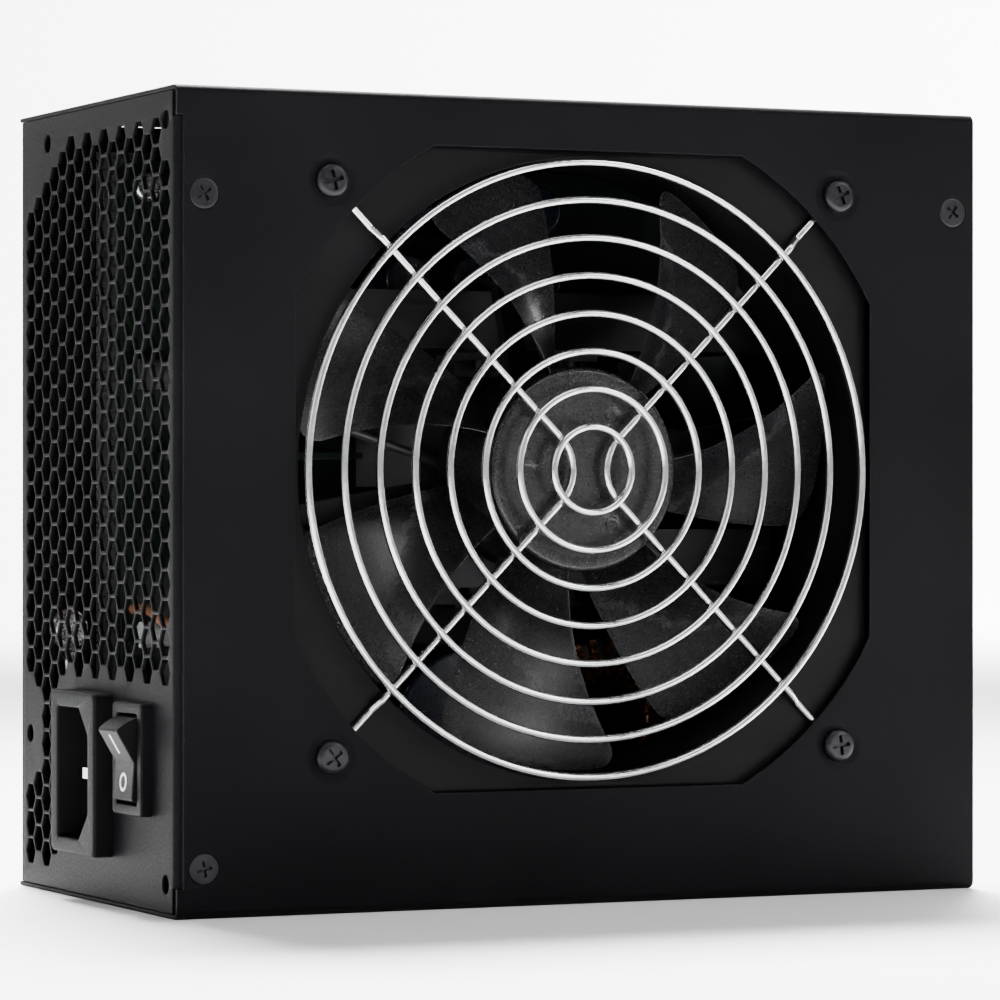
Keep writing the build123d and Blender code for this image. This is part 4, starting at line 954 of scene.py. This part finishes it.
# ---- Small parts on the board
# Electrolytic cans in shrunk sleeves, moulded film capacitors, dipped discs and a glass fuse, all
# soldered through the board on their own leads.
can_sleeve = finish("shrunk_sleeve", [(0.0035, 0.0045, 0.010), (0.006, 0.008, 0.017)], 0.6, (0.26, 0.32),
                    relief=0.004, patch=8.0, Specular_IOR_Level=0.25)
film_case = finish("film_case", [(0.16, 0.10, 0.012), (0.21, 0.14, 0.02)], 0.6, (0.3, 0.44),
                   relief=0.006, patch=6.0)
disc_blue = finish("dipped_disc", [(0.008, 0.035, 0.10), (0.012, 0.05, 0.13)], 0.5, (0.2, 0.34),
                   relief=0.01, patch=3.0)
glass_fuse = finish("fuse_glass", [(0.75, 0.77, 0.77), (0.82, 0.84, 0.84)], 0.6, (0.06, 0.14), relief=0.004,
                    patch=4.0, Transmission_Weight=0.6)
dress(can_sleeve, "bulk_capacitor", "output_capacitors")
dress(film_case, "x_capacitors")
dress(disc_blue, "y_capacitors")
dress(device_black, "thermistor")
dress(glass_fuse, "fuse")

# ---- Studio
# The unit stands on a pale paper sweep that rises into a wall all round. Large soft lights hang to
# its left, behind it, above it and to its right. The floor and the wall are lit on their own.
paper = bpy.data.materials.new("pale_paper")
paper.use_nodes = True
paper_shader = paper.node_tree.nodes["Principled BSDF"]
paper_shader.inputs["Base Color"].default_value = (0.86, 0.86, 0.86, 1)
paper_shader.inputs["Roughness"].default_value = 0.9
paper_shader.inputs["Specular IOR Level"].default_value = 0.1
sweep = Skin()
SWEEP, SWEEP_BEND = 3200.0, 900.0
SWEEP_FLAT = SWEEP - SWEEP_BEND
FLOOR_GAP = 0.02
bowl = [(radius, 0) for radius in (0, 300, 700, 1200, 1800, SWEEP_FLAT)]
for step in range(1, 9):
    rise = pi / 16 * step
    bowl.append((SWEEP_FLAT + SWEEP_BEND * sin(rise), SWEEP_BEND - SWEEP_BEND * cos(rise)))
bowl += [(SWEEP, 1600), (SWEEP, 2600)]
sweep.turned(lambda x, y, z: (x, y, z - FLOOR_GAP), bowl, 96)
sweep_mesh = bpy.data.meshes.new("paper_sweep")
sweep_mesh.from_pydata([Vector(p) * MM for p in sweep.points], [], sweep.faces)
sweep_work = bmesh.new()
sweep_work.from_mesh(sweep_mesh)
bmesh.ops.recalc_face_normals(sweep_work, faces=sweep_work.faces)
sweep_work.to_mesh(sweep_mesh)
sweep_work.free()
sweep_mesh.shade_smooth()
sweep_mesh.materials.append(paper)
floor = bpy.data.objects.new("paper_sweep", sweep_mesh)
bpy.context.scene.collection.objects.link(floor)

world = bpy.data.worlds.new("studio_room")
world.use_nodes = True
world.node_tree.nodes["Background"].inputs["Color"].default_value = (0.95, 0.97, 1.0, 1)
world.node_tree.nodes["Background"].inputs["Strength"].default_value = 0.03
bpy.context.scene.world = world


def soft_light(name, spot, aim, wide, high, power, spread=180):
    """Softbox at a spot, turned toward what it lights."""
    lamp = bpy.data.lights.new(name, "AREA")
    lamp.shape = "RECTANGLE"
    lamp.size, lamp.size_y = wide, high
    lamp.energy = power
    lamp.spread = radians(spread)
    held = bpy.data.objects.new(name, lamp)
    held.location = spot
    held.rotation_euler = (Vector(aim) - Vector(spot)).to_track_quat("-Z", "Y").to_euler()
    bpy.context.scene.collection.objects.link(held)


soft_light("left_softbox", (-1.3, -0.9, 0.75), (-0.05, 0, 0.07), 0.3, 0.8, 2.6)
soft_light("back_softbox", (-1.15, 1.0, 0.55), (-0.08, 0, 0.07), 0.7, 0.9, 1.0)
soft_light("top_softbox", (-0.1, -0.75, 1.25), (0, 0, 0.08), 0.9, 0.3, 7)
soft_light("right_softbox", (0.85, -1.15, 0.75), (0, 0, 0.08), 0.4, 0.6, 10)
soft_light("floor_light", (0.3, 1.0, 1.9), (0.02, 0.0, 0), 0.9, 0.7, 44, 48)
soft_light("wall_light", (1.3, 1.2, 1.2), (1.5, 2.5, 0.1), 1.4, 0.8, 260, 160)

camera_data = bpy.data.cameras.new("studio_camera")
camera_data.lens = 167.3
camera_data.sensor_width = 36
camera_data.clip_start, camera_data.clip_end = 0.01, 20
camera = bpy.data.objects.new("studio_camera", camera_data)
camera.location = (-0.3800, -0.8224, 0.07535)
camera.rotation_euler = Vector((0.4205, 0.9073, 0)).to_track_quat("-Z", "Y").to_euler()
bpy.context.scene.collection.objects.link(camera)
bpy.context.scene.camera = camera
